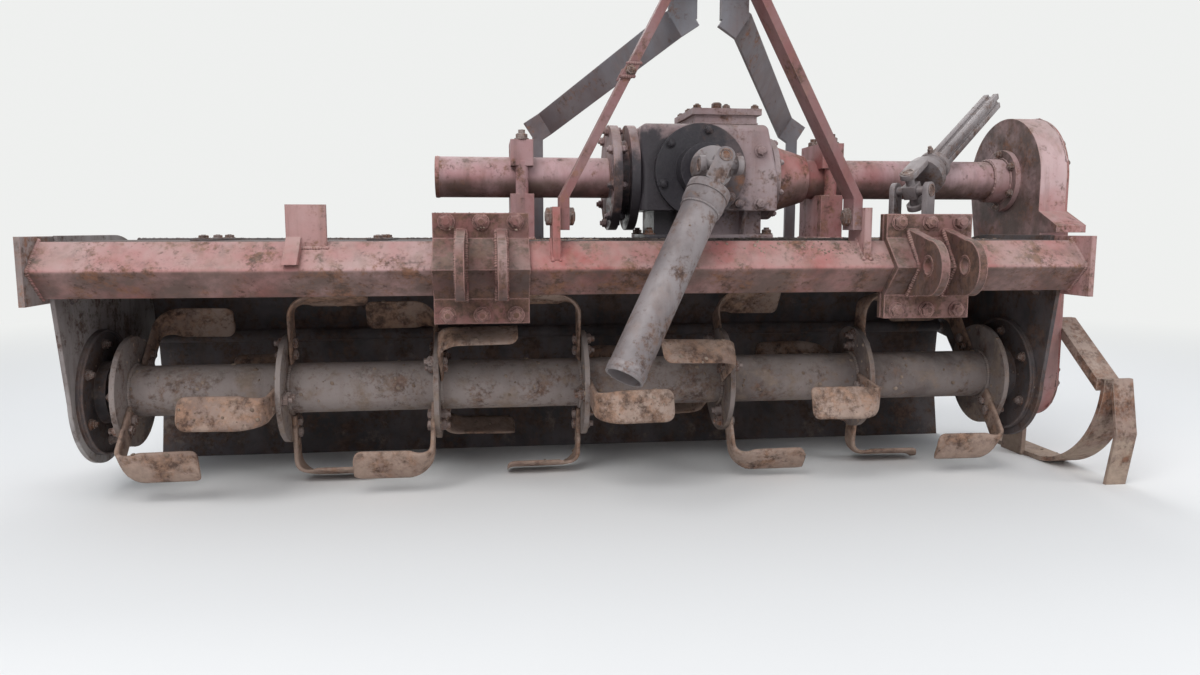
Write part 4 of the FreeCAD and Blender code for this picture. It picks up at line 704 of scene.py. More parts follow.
def clod_tree() -> bpy.types.NodeTree:
    """Small clods scattered over a surface.

    Returns:
        A geometry tree with inputs for their density, their sizes and the faces that hold them.
    """
    t = Tree.group(Repeat.CLOD.value, "GeometryNodeTree")
    t.takes("Surface", "NodeSocketGeometry")
    for name, default in (("Density", 300.0), ("Smallest", 0.002), ("Largest", 0.007), ("Least Rise", 0.3)):
        t.takes(name, "NodeSocketFloat", default)
    t.takes("Seed", "NodeSocketInt", 1)
    t.takes("Material", "NodeSocketMaterial")
    t.gives("Geometry", "NodeSocketGeometry")
    start = t.add("NodeGroupInput")
    end = t.add("NodeGroupOutput")

    way = t.add("GeometryNodeInputNormal")
    parts = t.add("ShaderNodeSeparateXYZ")
    t.put(parts.inputs[0], way.outputs[0])
    held = t.math("GREATER_THAN", parts.outputs[2], start.outputs["Least Rise"])
    where = t.add("GeometryNodeDistributePointsOnFaces", distribute_method="RANDOM")
    t.put(where.inputs["Mesh"], start.outputs["Surface"])
    t.put(where.inputs["Selection"], held)
    t.put(where.inputs["Density"], start.outputs["Density"])
    t.put(where.inputs["Seed"], start.outputs["Seed"])

    ball = t.add("GeometryNodeMeshIcoSphere")
    t.feed(ball, Radius=1.0, Subdivisions=2)
    at = t.add("GeometryNodeInputPosition")
    swell = t.math("ADD", t.math("MULTIPLY", t.noise(at.outputs[0], 1.6, 2.0, 0.6), 1.3), 0.3)
    shaped = t.add("ShaderNodeVectorMath", operation="SCALE")
    t.put(shaped.inputs[0], at.outputs[0])
    t.put(shaped.inputs["Scale"], swell)
    squash = t.add("ShaderNodeVectorMath", operation="MULTIPLY")
    t.put(squash.inputs[0], shaped.outputs[0])
    t.put(squash.inputs[1], (1.15, 0.85, 0.6))
    lump = t.add("GeometryNodeSetPosition")
    t.put(lump.inputs["Geometry"], ball.outputs["Mesh"])
    t.put(lump.inputs["Position"], squash.outputs[0])

    size = t.add("FunctionNodeRandomValue", data_type="FLOAT")
    t.put(size.inputs[2], 0.0)
    t.put(size.inputs[3], 1.0)
    t.put(size.inputs["Seed"], start.outputs["Seed"])
    few_large = t.math("POWER", size.outputs[1], 3.0)
    span = t.math("SUBTRACT", start.outputs["Largest"], start.outputs["Smallest"])
    scale = t.math("ADD", start.outputs["Smallest"], t.math("MULTIPLY", span, few_large))
    angle = t.add("FunctionNodeRandomValue", data_type="FLOAT")
    t.put(angle.inputs[2], 0.0)
    t.put(angle.inputs[3], math.tau)
    t.put(angle.inputs["Seed"], start.outputs["Seed"])
    spin = t.add("FunctionNodeAxisAngleToRotation")
    t.put(spin.inputs["Angle"], angle.outputs[1])
    turned = t.add("FunctionNodeRotateRotation", rotation_space="LOCAL")
    t.put(turned.inputs[0], where.outputs["Rotation"])
    t.put(turned.inputs[1], spin.outputs[0])
    spread = t.add("GeometryNodeInstanceOnPoints")
    t.put(spread.inputs["Points"], where.outputs["Points"])
    t.put(spread.inputs["Instance"], lump.outputs[0])
    t.put(spread.inputs["Rotation"], turned.outputs[0])
    t.put(spread.inputs["Scale"], scale)
    finish_tree(t, spread.outputs[0], start.outputs["Material"], end)
    return t.tree


def finish_tree(t: Tree, result: bpy.types.NodeSocket, material: bpy.types.NodeSocket,
                end: bpy.types.Node) -> None:
    """End a tree: real geometry, then its material.

    Args:
        t: the tree.
        result: what the tree has made so far.
        material: the tree's material input.
        end: the group's output node.
    """
    real = t.add("GeometryNodeRealizeInstances")
    t.put(real.inputs[0], result)
    dress = t.add("GeometryNodeSetMaterial")
    t.put(dress.inputs["Geometry"], real.outputs[0])
    t.put(dress.inputs["Material"], material)
    t.put(end.inputs[0], dress.outputs[0])


# Building pieces


@dataclass(frozen=True)
class Spot:
    """Point that carries a bolt, with the way the bolt's head faces."""

    at: Vector
    aim: Vector


@dataclass(frozen=True)
class Bolt:
    """Sizes of a bolt head or nut, in millimetres."""

    head: float = 12.0
    height: float = 9.0
    washer: float = 15.0
    washer_height: float = 2.5
    thread: float = 6.0
    thread_height: float = 4.0
    sides: int = 6

    def inputs(self) -> dict[str, object]:
        """Values for the bolt tree's inputs."""
        return {"Head Radius": mm(self.head), "Head Height": mm(self.height),
                "Washer Radius": mm(self.washer), "Washer Height": mm(self.washer_height),
                "Thread Radius": mm(self.thread), "Thread Height": mm(self.thread_height),
                "Sides": self.sides}


class Form:
    """A mesh under construction. Its sizes are in millimetres."""

    def __init__(self) -> None:
        self.build = bmesh.new()

    @classmethod
    def of_node(cls, node: str) -> "Form":
        """Copy of a CAD node with its faces joined."""
        form = cls()
        form.build.from_mesh(frame["nodes"][node].data)
        bmesh.ops.scale(form.build, vec=(1000.0,) * 3, verts=form.build.verts)
        bmesh.ops.remove_doubles(form.build, verts=form.build.verts, dist=0.01)
        bmesh.ops.dissolve_limit(form.build, angle_limit=math.radians(0.5), verts=form.build.verts,
                                 edges=form.build.edges)
        return form

    def lathe(self, centre: Vector, along: Vector, profile: Sequence[tuple[float, float]], segments: int = 36,
              closed: bool = False) -> None:
        """Turn a profile about an axis.

        Args:
            centre: a point of the axis.
            along: the axis.
            profile: distance along the axis and radius of each corner, in order.
            segments: steps round the axis.
            closed: whether the last corner joins the first, as in a ring.
        """
        along = along.normalized()
        side = along.orthogonal().normalized()
        other = along.cross(side)
        rows = []
        for step, radius in profile:
            if radius <= 0.0:
                rows.append([self.build.verts.new(centre + along * step)])
                continue
            row = []
            for i in range(segments):
                angle = math.tau * i / segments
                out = side * math.cos(angle) + other * math.sin(angle)
                row.append(self.build.verts.new(centre + along * step + out * radius))
            rows.append(row)
        pairs = list(zip(rows, rows[1:]))
        if closed:
            pairs.append((rows[-1], rows[0]))
        for low, high in pairs:
            for i in range(segments):
                j = (i + 1) % segments
                corners = (low[i % len(low)], low[j % len(low)], high[j % len(high)], high[i % len(high)])
                once = list(dict.fromkeys(corners))
                if len(once) > 2:
                    self.build.faces.new(once)
        if not closed:
            for row in (rows[0], rows[-1]):
                if len(row) > 1:
                    self.build.faces.new(row)

    def prism(self, outline: Sequence[Vector], depth: Vector) -> None:
        """Straight solid with a flat outline."""
        low = [self.build.verts.new(corner) for corner in outline]
        high = [self.build.verts.new(corner + depth) for corner in outline]
        self.build.faces.new(low)
        self.build.faces.new(list(reversed(high)))
        for i in range(len(low)):
            j = (i + 1) % len(low)
            self.build.faces.new((low[i], low[j], high[j], high[i]))

    def slab(self, low: tuple[float, float, float], high: tuple[float, float, float]) -> None:
        """Plate between two corners."""
        x, y, z = low
        corners = [Vector((x, y, z)), Vector((high[0], y, z)), Vector((high[0], high[1], z)),
                   Vector((x, high[1], z))]
        self.prism(corners, Vector((0.0, 0.0, high[2] - z)))

    def sweep(self, path: Sequence[Vector], radius: float, sides: int = 12) -> None:
        """Round bar along a path."""
        rows = []
        side = (path[1] - path[0]).orthogonal().normalized()
        for i, point in enumerate(path):
            along = (path[min(i + 1, len(path) - 1)] - path[max(i - 1, 0)]).normalized()
            side = (side - along * side.dot(along)).normalized()
            other = along.cross(side)
            rows.append([self.build.verts.new(point + (side * math.cos(math.tau * k / sides)
                                                       + other * math.sin(math.tau * k / sides)) * radius)
                         for k in range(sides)])
        for low, high in zip(rows, rows[1:]):
            for i in range(sides):
                j = (i + 1) % sides
                self.build.faces.new((low[i], low[j], high[j], high[i]))
        self.build.faces.new(rows[0])
        self.build.faces.new(rows[-1])

    def soften(self, width: float, segments: int = 2, least_angle: float = 38.0) -> "Form":
        """Round every edge that is sharper than an angle."""
        bmesh.ops.recalc_face_normals(self.build, faces=self.build.faces)
        sharp = [edge for edge in self.build.edges if len(edge.link_faces) == 2
                 and edge.calc_face_angle(0.0) > math.radians(least_angle)]
        bmesh.ops.bevel(self.build, geom=sharp, offset=width, offset_type="OFFSET", segments=segments,
                        profile=0.5, affect="EDGES", clamp_overlap=True)
        return self

    def mesh(self, name: str, smooth_under: float = 32.0) -> bpy.types.Mesh:
        """The result in metres, smooth where faces meet at less than an angle.

        Args:
            name: the mesh's name.
            smooth_under: that angle in degrees.

        Returns:
            The mesh.
        """
        bmesh.ops.recalc_face_normals(self.build, faces=self.build.faces)
        bmesh.ops.scale(self.build, vec=(0.001,) * 3, verts=self.build.verts)
        for face in self.build.faces:
            face.smooth = True
        mesh = bpy.data.meshes.new(name)
        self.build.to_mesh(mesh)
        self.build.free()
        mesh.set_sharp_from_angle(angle=math.radians(smooth_under))
        return mesh


class Workshop:
    """Makes finished pieces and keeps what they share.

    Args:
        materials: the material of each finish.
    """

    def __init__(self, materials: dict[str, bpy.types.Material]) -> None:
        self.materials = materials
        self.trees = {Repeat.BOLT: bolt_tree(), Repeat.WELD: weld_tree(), Repeat.BLADE: blade_tree(),
                      Repeat.CLOD: clod_tree()}
        self.made = 0

    def keep(self, mesh: bpy.types.Mesh, name: str, body: str, finish: str,
             replaces: Sequence[str] = ()) -> bpy.types.Object:
        """Turn a mesh into a finished piece.

        Args:
            mesh: the piece's mesh, in place.
            name: the piece's name.
            body: the CAD body that it rides on.
            finish: its finish.
            replaces: the CAD nodes that it stands for.

        Returns:
            The piece.
        """
        mesh.name = name
        piece = bpy.data.objects.new(name, mesh)
        bpy.context.scene.collection.objects.link(piece)
        if not mesh.materials:
            mesh.materials.append(self.materials[finish])
        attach(piece, body)
        if replaces:
            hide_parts(*replaces)
        self.made += 1
        log.info("piece %s on %s: %d faces", name, body, len(mesh.polygons))
        return piece

    def grow(self, kind: Repeat, base: bpy.types.Mesh, inputs: dict[str, object], finish: str
             ) -> bpy.types.Mesh:
        """Run one geometry tree on a base mesh.

        Args:
            kind: the tree.
            base: the points or line that it works on.
            inputs: values of the tree's inputs by name.
            finish: the finish of the result.

        Returns:
            The result as a plain mesh.
        """
        tree = self.trees[kind]
        holder = bpy.data.objects.new("holder", base)
        bpy.context.scene.collection.objects.link(holder)
        modifier = holder.modifiers.new("grow", "NODES")
        modifier.node_group = tree
        values = {**inputs, "Material": self.materials[finish]}
        for item in tree.interface.items_tree:
            if item.item_type == "SOCKET" and item.in_out == "INPUT" and item.name in values:
                modifier[item.identifier] = values[item.name]
        graph = bpy.context.evaluated_depsgraph_get()
        mesh = bpy.data.meshes.new_from_object(holder.evaluated_get(graph))
        holder.modifiers.clear()
        bpy.data.objects.remove(holder)
        bpy.data.meshes.remove(base)
        return mesh

    def bolts(self, name: str, spots: Iterable[Spot], bolt: Bolt, body: str = "root",
              finish: str = "pin_steel", seed: int = 3) -> bpy.types.Object:
        """A set of bolt heads or nuts as one piece.

        Args:
            name: the piece's name.
            spots: where the bolts are.
            bolt: their sizes.
            body: the CAD body that they ride on.
            finish: their finish.
            seed: seed of each head's turn.

        Returns:
            The piece.
        """
        spots = list(spots)
        base = bpy.data.meshes.new(name + "_spots")
        base.from_pydata([spot.at for spot in spots], [], [])
        aim = base.attributes.new("aim", "FLOAT_VECTOR", "POINT")
        aim.data.foreach_set("vector", [c for spot in spots for c in spot.aim])
        mesh = self.grow(Repeat.BOLT, base, {**bolt.inputs(), "Seed": seed}, finish)
        return self.keep(mesh, name, body, finish)

    def welds(self, name: str, lines: Iterable[Sequence[Vector]], radius: float = 3.5, body: str = "root",
              finish: str = "red_paint", seed: int = 5) -> bpy.types.Object:
        """Weld beads along lines as one piece.

        Args:
            name: the piece's name.
            lines: corners of each line.
            radius: the bead's radius in millimetres.
            body: the CAD body that they ride on.
            finish: their finish.
            seed: seed of the bead's unevenness.

        Returns:
            The piece.
        """
        points: list[Vector] = []
        edges: list[tuple[int, int]] = []
        for line in lines:
            first = len(points)
            points.extend(line)
            edges.extend((first + i, first + i + 1) for i in range(len(line) - 1))
        base = bpy.data.meshes.new(name + "_line")
        base.from_pydata(points, edges, [])
        sizes = {"Bead Radius": mm(radius), "Pitch": mm(radius * 1.1), "Seed": seed}
        mesh = self.grow(Repeat.WELD, base, sizes, finish)
        for face in mesh.polygons:
            face.use_smooth = True
        return self.keep(mesh, name, body, finish)


    def clods(self, name: str, surfaces: Sequence[bpy.types.Mesh], density: float, largest: float,
              body: str = "root", finish: str = "soil", least_rise: float = 0.3, seed: int = 1
              ) -> bpy.types.Object:
        """Clods of soil on the faces of some meshes, as one piece.

        Args:
            name: the piece's name.
            surfaces: the meshes that carry the clods.
            density: clods on a square metre.
            largest: the largest clod's radius in millimetres.
            body: the CAD body that they ride on.
            finish: their finish.
            least_rise: how far up a face must look to hold soil, from -1 to 1.
            seed: seed of the scatter.

        Returns:
            The piece.
        """
        build = bmesh.new()
        for surface in surfaces:
            build.from_mesh(surface)
        base = bpy.data.meshes.new(name + "_surface")
        build.to_mesh(base)
        build.free()
        base.materials.clear()
        values = {"Density": density, "Smallest": mm(largest * 0.18), "Largest": mm(largest),
                  "Least Rise": least_rise, "Seed": seed}
        mesh = self.grow(Repeat.CLOD, base, values, finish)
        for face in mesh.polygons:
            face.use_smooth = True
        return self.keep(mesh, name, body, finish)


def node_mesh(node: str) -> bpy.types.Mesh:
    """Mesh of a CAD node."""
    return frame["nodes"][node].data


def circle(centre: Vector, axis: Vector, radius: float, steps: int = 40) -> list[Vector]:
    """Closed line round an axis, in metres."""
    side = axis.orthogonal().normalized()
    other = axis.normalized().cross(side)
    return [centre + (side * math.cos(math.tau * i / steps) + other * math.sin(math.tau * i / steps)) * radius
            for i in range(steps + 1)]


def ring(centre: Vector, axis: str, radius: float, count: int, aim: Vector, start: float = 0.0) -> list[Spot]:
    """Bolt spots on a circle.

    Args:
        centre: the circle's centre.
        axis: the axis that it lies round, X or Y.
        radius: its radius in metres.
        count: how many spots.
        aim: the way the heads face.
        start: angle of the first spot in degrees.

    Returns:
        The spots.
    """
    spots = []
    for index in range(count):
        angle = math.radians(start + 360.0 * index / count)
        across, up = math.cos(angle) * radius, math.sin(angle) * radius
        offset = Vector((0.0, across, up)) if axis == "X" else Vector((across, 0.0, up))
        spots.append(Spot(centre + offset, aim))
    return spots


FRONT = Vector((0.0, -1.0, 0.0))
BACK = Vector((0.0, 1.0, 0.0))
LEFT = Vector((-1.0, 0.0, 0.0))
RIGHT = Vector((1.0, 0.0, 0.0))
UP = Vector((0.0, 0.0, 1.0))
DOWN = Vector((0.0, 0.0, -1.0))


# Sub-assemblies


@dataclass
class Rotor:
    """Rotor blades and the bolts that hold them to the flanges. Sizes in millimetres and degrees."""

    shop: Workshop
    turns: tuple[int, ...] = (46, -5, -50, -97, 27, -8, -50)
    pitch: float = 300.0
    face: float = 5.0
    thick: float = 8.0
    root: float = 58.0
    neck: float = 148.0
    bend: float = 48.0
    tip: float = 160.0
    root_half: float = 24.0
    foot_half: float = 32.0
    sweep: float = 3.0
    foot_tilt: float = 25.0
    bolt_radii: tuple[float, float] = (70.0, 94.0)
    tube: float = 50.8

    def axis(self) -> Vector:
        """Centre of the rotor."""
        return middle("rotor_tube")

    def path(self) -> list[tuple[float, float, float, float, float]]:
        """Stations along a blade.

        Returns:
            For each station its place along X, its radius, the slope of its face and its half width,
            all in millimetres and radians, and its share of the whole length.
        """
        line = self.face + self.thick / 2
        stations = []
        for i in range(7):
            stations.append((line, self.root + (self.neck - self.root) * i / 6, 0.0, self.root_half))
        for i in range(1, 11):
            angle = math.radians(9.0 * i)
            half = self.root_half + (self.foot_half - self.root_half) * i / 10
            stations.append((line + self.bend * (1 - math.cos(angle)),
                             self.neck + self.bend * math.sin(angle), angle, half))
        flat = line + self.bend
        for i in range(1, 5):
            stations.append((flat + (self.tip - 16 - flat) * i / 4, self.neck + self.bend, math.pi / 2,
                             self.foot_half))
        for i in range(1, 6):
            angle = math.radians(18.0 * i)
            stations.append((self.tip - 16 + 16 * math.sin(angle), self.neck + self.bend, math.pi / 2,
                             self.foot_half - 15 * (1 - math.cos(angle))))
        last = len(stations) - 1
        return [(*station, i / last) for i, station in enumerate(stations)]

    def blade(self, side: int) -> bpy.types.Mesh:
        """One blade about the rotor axis, pointing up, with its foot to one side.

        Args:
            side: 1 for a foot towards +X, -1 for -X.

        Returns:
            The blade's mesh.
        """
        across = (-1.0, -0.93, -0.55, 0.0, 0.5, 0.78, 1.0)
        share = (0.55, 1.0, 1.0, 1.0, 1.0, 0.8, 0.22)
        build = bmesh.new()
        rows = []
        for x, radius, slope, half, part in self.path():
            row = []
            lean = half * math.sin(math.radians(self.foot_tilt)) * min(max((part - 0.3) / 0.3, 0.0), 1.0)
            for face in (1, -1):
                for u, fat in zip(across, share):
                    depth = face * self.thick / 2 * fat
                    r = radius + depth * math.sin(slope) + (u - 1.0) * lean
                    angle = u * half / radius - math.radians(self.sweep) * max(0.0, part - 0.3)
                    place = Vector((side * (x - depth * math.cos(slope)), -r * math.sin(angle),
                                    r * math.cos(angle)))
                    row.append(build.verts.new(place / 1000.0))
            rows.append(row)
        count = len(across)
        loop = list(range(count)) + list(range(2 * count - 1, count - 1, -1))
        for low, high in zip(rows, rows[1:]):
            for a, b in zip(loop, loop[1:] + loop[:1]):
                build.faces.new((low[a], low[b], high[b], high[a]))
        build.faces.new([rows[0][i] for i in loop])
        build.faces.new([rows[-1][i] for i in reversed(loop)])
        bmesh.ops.recalc_face_normals(build, faces=build.faces)
        for face in build.faces:
            face.smooth = True
        mesh = bpy.data.meshes.new("blade")
        build.to_mesh(mesh)
        build.free()
        return mesh

    def angles(self, side: int) -> list[tuple[float, float]]:
        """Place along X in metres and turn in degrees of each blade with a foot to one side."""
        centre = self.axis().x
        first = -(len(self.turns) - 1) / 2
        found = []
        for index, turn in enumerate(self.turns):
            if (side < 0 and index == 0) or (side > 0 and index == len(self.turns) - 1):
                continue
            offset = 0 if side < 0 else 90
            for half_turn in (0, 180):
                found.append((centre + mm(self.pitch) * (first + index), 90.0 - (turn + offset + half_turn)))
        return found

    def build(self) -> None:
        """Make the blades and their bolts."""
        axis = self.axis()
        forged: list[bpy.types.Mesh] = []
        for side, name in ((-1, "blades_left"), (1, "blades_right")):
            blade = bpy.data.objects.new("blade_pattern", self.blade(side))
            bpy.context.scene.collection.objects.link(blade)
            places = self.angles(side)
            base = bpy.data.meshes.new(name + "_points")
            base.from_pydata([(x, axis.y, axis.z) for x, _ in places], [], [])
            turn = base.attributes.new("turn", "FLOAT", "POINT")
            turn.data.foreach_set("value", [math.radians(angle) for _, angle in places])
            mesh = self.shop.grow(Repeat.BLADE, base, {"Blade": blade}, "blade_steel")
            bpy.data.objects.remove(blade)
            forged.append(self.shop.keep(mesh, name + "_forged", "rotor", "blade_steel", [name]).data)
        heads, nuts = [], []
        for side in (-1, 1):
            for x, angle in self.angles(side):
                for radius in self.bolt_radii:
                    turn = math.radians(angle)
                    away = Vector((0.0, -math.sin(turn), math.cos(turn))) * mm(radius)
                    seat = Vector((x, axis.y, axis.z)) + away
                    heads.append(Spot(seat + Vector((side * mm(self.face + self.thick), 0, 0)),
                                      Vector((side, 0, 0))))
                    nuts.append(Spot(seat - Vector((side * mm(self.face), 0, 0)), Vector((-side, 0, 0))))
        self.welds_and_soil(forged)
        self.shop.bolts("blade_bolt_heads", heads, Bolt(head=11, height=7, washer=9, washer_height=1,
                                                        thread=5, thread_height=1), "rotor")
        self.shop.bolts("blade_bolt_nuts", nuts, Bolt(head=11, height=10, washer=14, thread=6,
                                                      thread_height=7), "rotor")

    def welds_and_soil(self, forged: Sequence[bpy.types.Mesh]) -> None:
        """Beads where the flanges meet the tube, and soil on blades and tube.

        Args:
            forged: the blades' meshes.
        """
        axis = self.axis()
        lines = []
        for index in range(len(self.turns)):
            x = axis.x + mm(self.pitch) * (index - (len(self.turns) - 1) / 2)
            for side in (-1, 1):
                centre = Vector((x + side * mm(self.face + 2), axis.y, axis.z))
                lines.append(circle(centre, RIGHT, mm(self.tube + 1.5)))
        self.shop.welds("flange_welds", lines, 4.0, "rotor", "rotor_steel")
        self.shop.clods("soil_on_blades", forged, 1500.0, 5.0, "rotor", least_rise=-0.2, seed=4)
        self.shop.clods("soil_on_rotor", [node_mesh("rotor_tube")], 900.0, 5.5, "rotor", least_rise=-0.4,
                        seed=7)


@dataclass
class Stubs:
    """Bolts that hold the rotor's stub discs to its end flanges. Sizes in millimetres."""

    shop: Workshop
    bolt_circle: float = 62.0

    def build(self) -> None:
        """Make the bolts at both ends of the rotor."""
        axis = middle("rotor_tube")
        spots = []
        for node, side in (("rotor_stub_left", -1), ("rotor_stub_right", 1)):
            low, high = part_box(node)
            face = high.x - mm(12) if side < 0 else low.x + mm(12)
            spots += ring(Vector((face, axis.y, axis.z)), "X", mm(self.bolt_circle), 6, Vector((side, 0, 0)))
        self.shop.bolts("stub_bolts", spots, Bolt(head=9, height=7, washer=11, washer_height=1.5, thread=5,
                                                  thread_height=2), "rotor", seed=15)


@dataclass
class Hitch:
    """Bolts, beads and sleeves of the two hitch clamps. Sizes in millimetres."""

    shop: Workshop
    bolt_side: float = 62.0
    bolt_up: float = 85.0
    flange_front: float = 15.0
    flange_back: float = 15.0
    ear_half_gap: float = 28.0
    ear_thick: float = 16.0

    def build(self) -> None:
        """Make the clamp bolts and nuts, and the beads at the ears."""
        heads, nuts, lines = [], [], []
        for side in ("left", "right"):
            low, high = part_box("hitch_clamp_" + side)
            beam = middle("main_beam")
            centre = (low.x + high.x) / 2
            for dx in (-self.bolt_side, 0.0, self.bolt_side):
                for dz in (self.bolt_up, -self.bolt_up):
                    at = Vector((centre + mm(dx), 0.0, beam.z + mm(dz)))
                    heads.append(Spot(Vector((at.x, beam.y - mm(self.flange_front), at.z)), FRONT))
                    nuts.append(Spot(Vector((at.x, beam.y + mm(self.flange_back), at.z)), BACK))
            slope = (Vector((0.0, beam.y - mm(18), beam.z + mm(68))),
                     Vector((0.0, beam.y - mm(66), beam.z + mm(4))),
                     Vector((0.0, beam.y - mm(66), beam.z - mm(4))),
                     Vector((0.0, beam.y - mm(24), beam.z - mm(56))))
            for sign in (-1, 1):
                for edge in (self.ear_half_gap - 1, self.ear_half_gap + self.ear_thick + 1):
                    shift = Vector((centre + sign * mm(edge), 0.0, 0.0))
                    lines.append([corner + shift for corner in slope])
        self.shop.bolts("clamp_bolt_heads", heads, Bolt(head=13, height=9, washer=16, thread=7),
                        finish="clamp_paint")
        self.shop.bolts("clamp_bolt_nuts", nuts, Bolt(head=14, height=12, washer=17, thread=8,
                                                      thread_height=10), seed=9)
        self.shop.welds("ear_welds", lines, 4.5, finish="clamp_paint", seed=8)
        self.worn_eyes()

    def worn_eyes(self) -> None:
        """Rubbed rings round the lower hitch holes."""
        form = Form()
        mounts = ((-263.0, 450.0), (599.0, 454.0))
        profile = ((-0.6, 15.0), (-0.6, 19.5), (0.0, 20.5), (1.0, 20.5), (1.0, 15.0))
        for x, z in mounts:
            for sign in (-1, 1):
                for edge, way in ((self.ear_half_gap, -sign), (self.ear_half_gap + self.ear_thick, sign)):
                    centre = Vector((x + sign * edge, -249.5, z))
                    form.lathe(centre, Vector((-way, 0.0, 0.0)), profile, 32, closed=True)
        self.shop.keep(form.mesh("worn_eyes"), "worn_eyes", "root", "clamp_paint")


@dataclass
class Mast:
    """Bolts, beads and the repaired joint of the mast. Sizes in millimetres."""

    shop: Workshop
    joint_low: float = 795.0
    joint_high: float = 818.0

    def bar_at(self, side: str, height: float) -> float:
        """Middle of a mast bar along X at a height.

        Args:
            side: left or right.
            height: millimetres above the ground.

        Returns:
            The place in millimetres.
        """
        foot, top = (-111.0, 129.5) if side == "left" else (448.0, 207.5)
        return foot + (top - foot) * (height - 580.0) / (1035.0 - 580.0)

    def build(self) -> None:
        """Make the mast's fastenings."""
        self.lug_bolts()
        self.joint()
        self.head()

    def lug_bolts(self) -> None:
        """Bolts through the lugs, in place of their plain solids."""
        for side, sign in (("left", -1), ("right", 1)):
            node = "mast_pin_" + side
            low, high = (corner * 1000.0 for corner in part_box(node))
            centre = Vector(((low.x + high.x) / 2, (low.y + high.y) / 2, (low.z + high.z) / 2))
            form = Form()
            half = (high.x - low.x) / 2
            form.lathe(centre, RIGHT, ((-half, 0.0), (-half, 8.6), (-half + 1.4, 9.9), (half - 1.4, 9.9),
                                       (half, 8.6), (half, 0.0)), 24)
            for out in (-1, 1):
                seat = centre + Vector((out * (half - 12.0), 0.0, 0.0))
                form.lathe(seat, Vector((out, 0.0, 0.0)), ((0.0, 17.6), (1.6, 17.6), (2.2, 16.9), (2.2, 10.0),
                                                           (0.0, 10.0)), 28, closed=True)
                corners = [(2.2, 14.2), (2.2, 17.0), (8.6, 17.0), (10.4, 14.2), (10.4, 9.95), (2.2, 9.95)]
                form.lathe(seat, Vector((out, 0.0, 0.0)), corners, 6, closed=True)
            self.shop.keep(form.mesh(node + "_bolt"), node + "_bolt", "root", "pin_steel", [node])

    def joint(self) -> None:
        """Clip and bead where the left mast bar was mended."""
        form = Form()
        low, high = self.joint_low, self.joint_high
        x0, x1 = self.bar_at("left", low), self.bar_at("left", high)
        for y in (-180.5, -126.5):
            outline = [Vector((x0 - 13, y, low)), Vector((x0 + 13, y, low)), Vector((x1 + 13, y, high)),
                       Vector((x1 - 13, y, high))]
            form.prism(outline, Vector((0.0, 4.0, 0.0)))
        form.soften(1.0, 1)
        self.shop.keep(form.mesh("mast_clip"), "mast_clip", "root", "mast_paint")
        beam = middle("main_beam")
        lines = []
        for height in (low, high):
            x = mm(self.bar_at("left", height))
            y = beam.y
            lines.append([Vector((x - mm(12), y - mm(28), mm(height))), Vector((x + mm(12), y - mm(28), mm(height)))])
        x = mm(self.bar_at("left", 806.0))
        spots = [Spot(Vector((x, beam.y - mm(29), mm(806.0))), FRONT)]
        self.shop.welds("mast_clip_welds", lines, 3.5, finish="mast_paint", seed=11)
        self.shop.bolts("mast_clip_bolt", spots, Bolt(head=8, height=6, washer=10, washer_height=1.5, thread=4))

    def head(self) -> None:
        """Beads and bolts that join the mast bars, head plate and stays."""
        low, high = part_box("mast_head")
        lines, spots = [], []
        for side in (-1, 1):
            x = (low.x + high.x) / 2 + side * mm(48.0)
            for z in (low.z, high.z):
                lines.append([Vector((x - mm(24), low.y, z)), Vector((x + mm(24), low.y, z))])
        for side in (-1, 1):
            x = (low.x + high.x) / 2 + side * mm(50.0)
            for z in (0.985, 1.01):
                spots.append(Spot(Vector((x, high.y + mm(12), z)), BACK))
        self.shop.welds("mast_head_welds", lines, 4.0, finish="mast_paint", seed=13)
        self.shop.bolts("mast_head_bolts", spots, Bolt(head=10, height=8, washer=12, thread=5), seed=12)


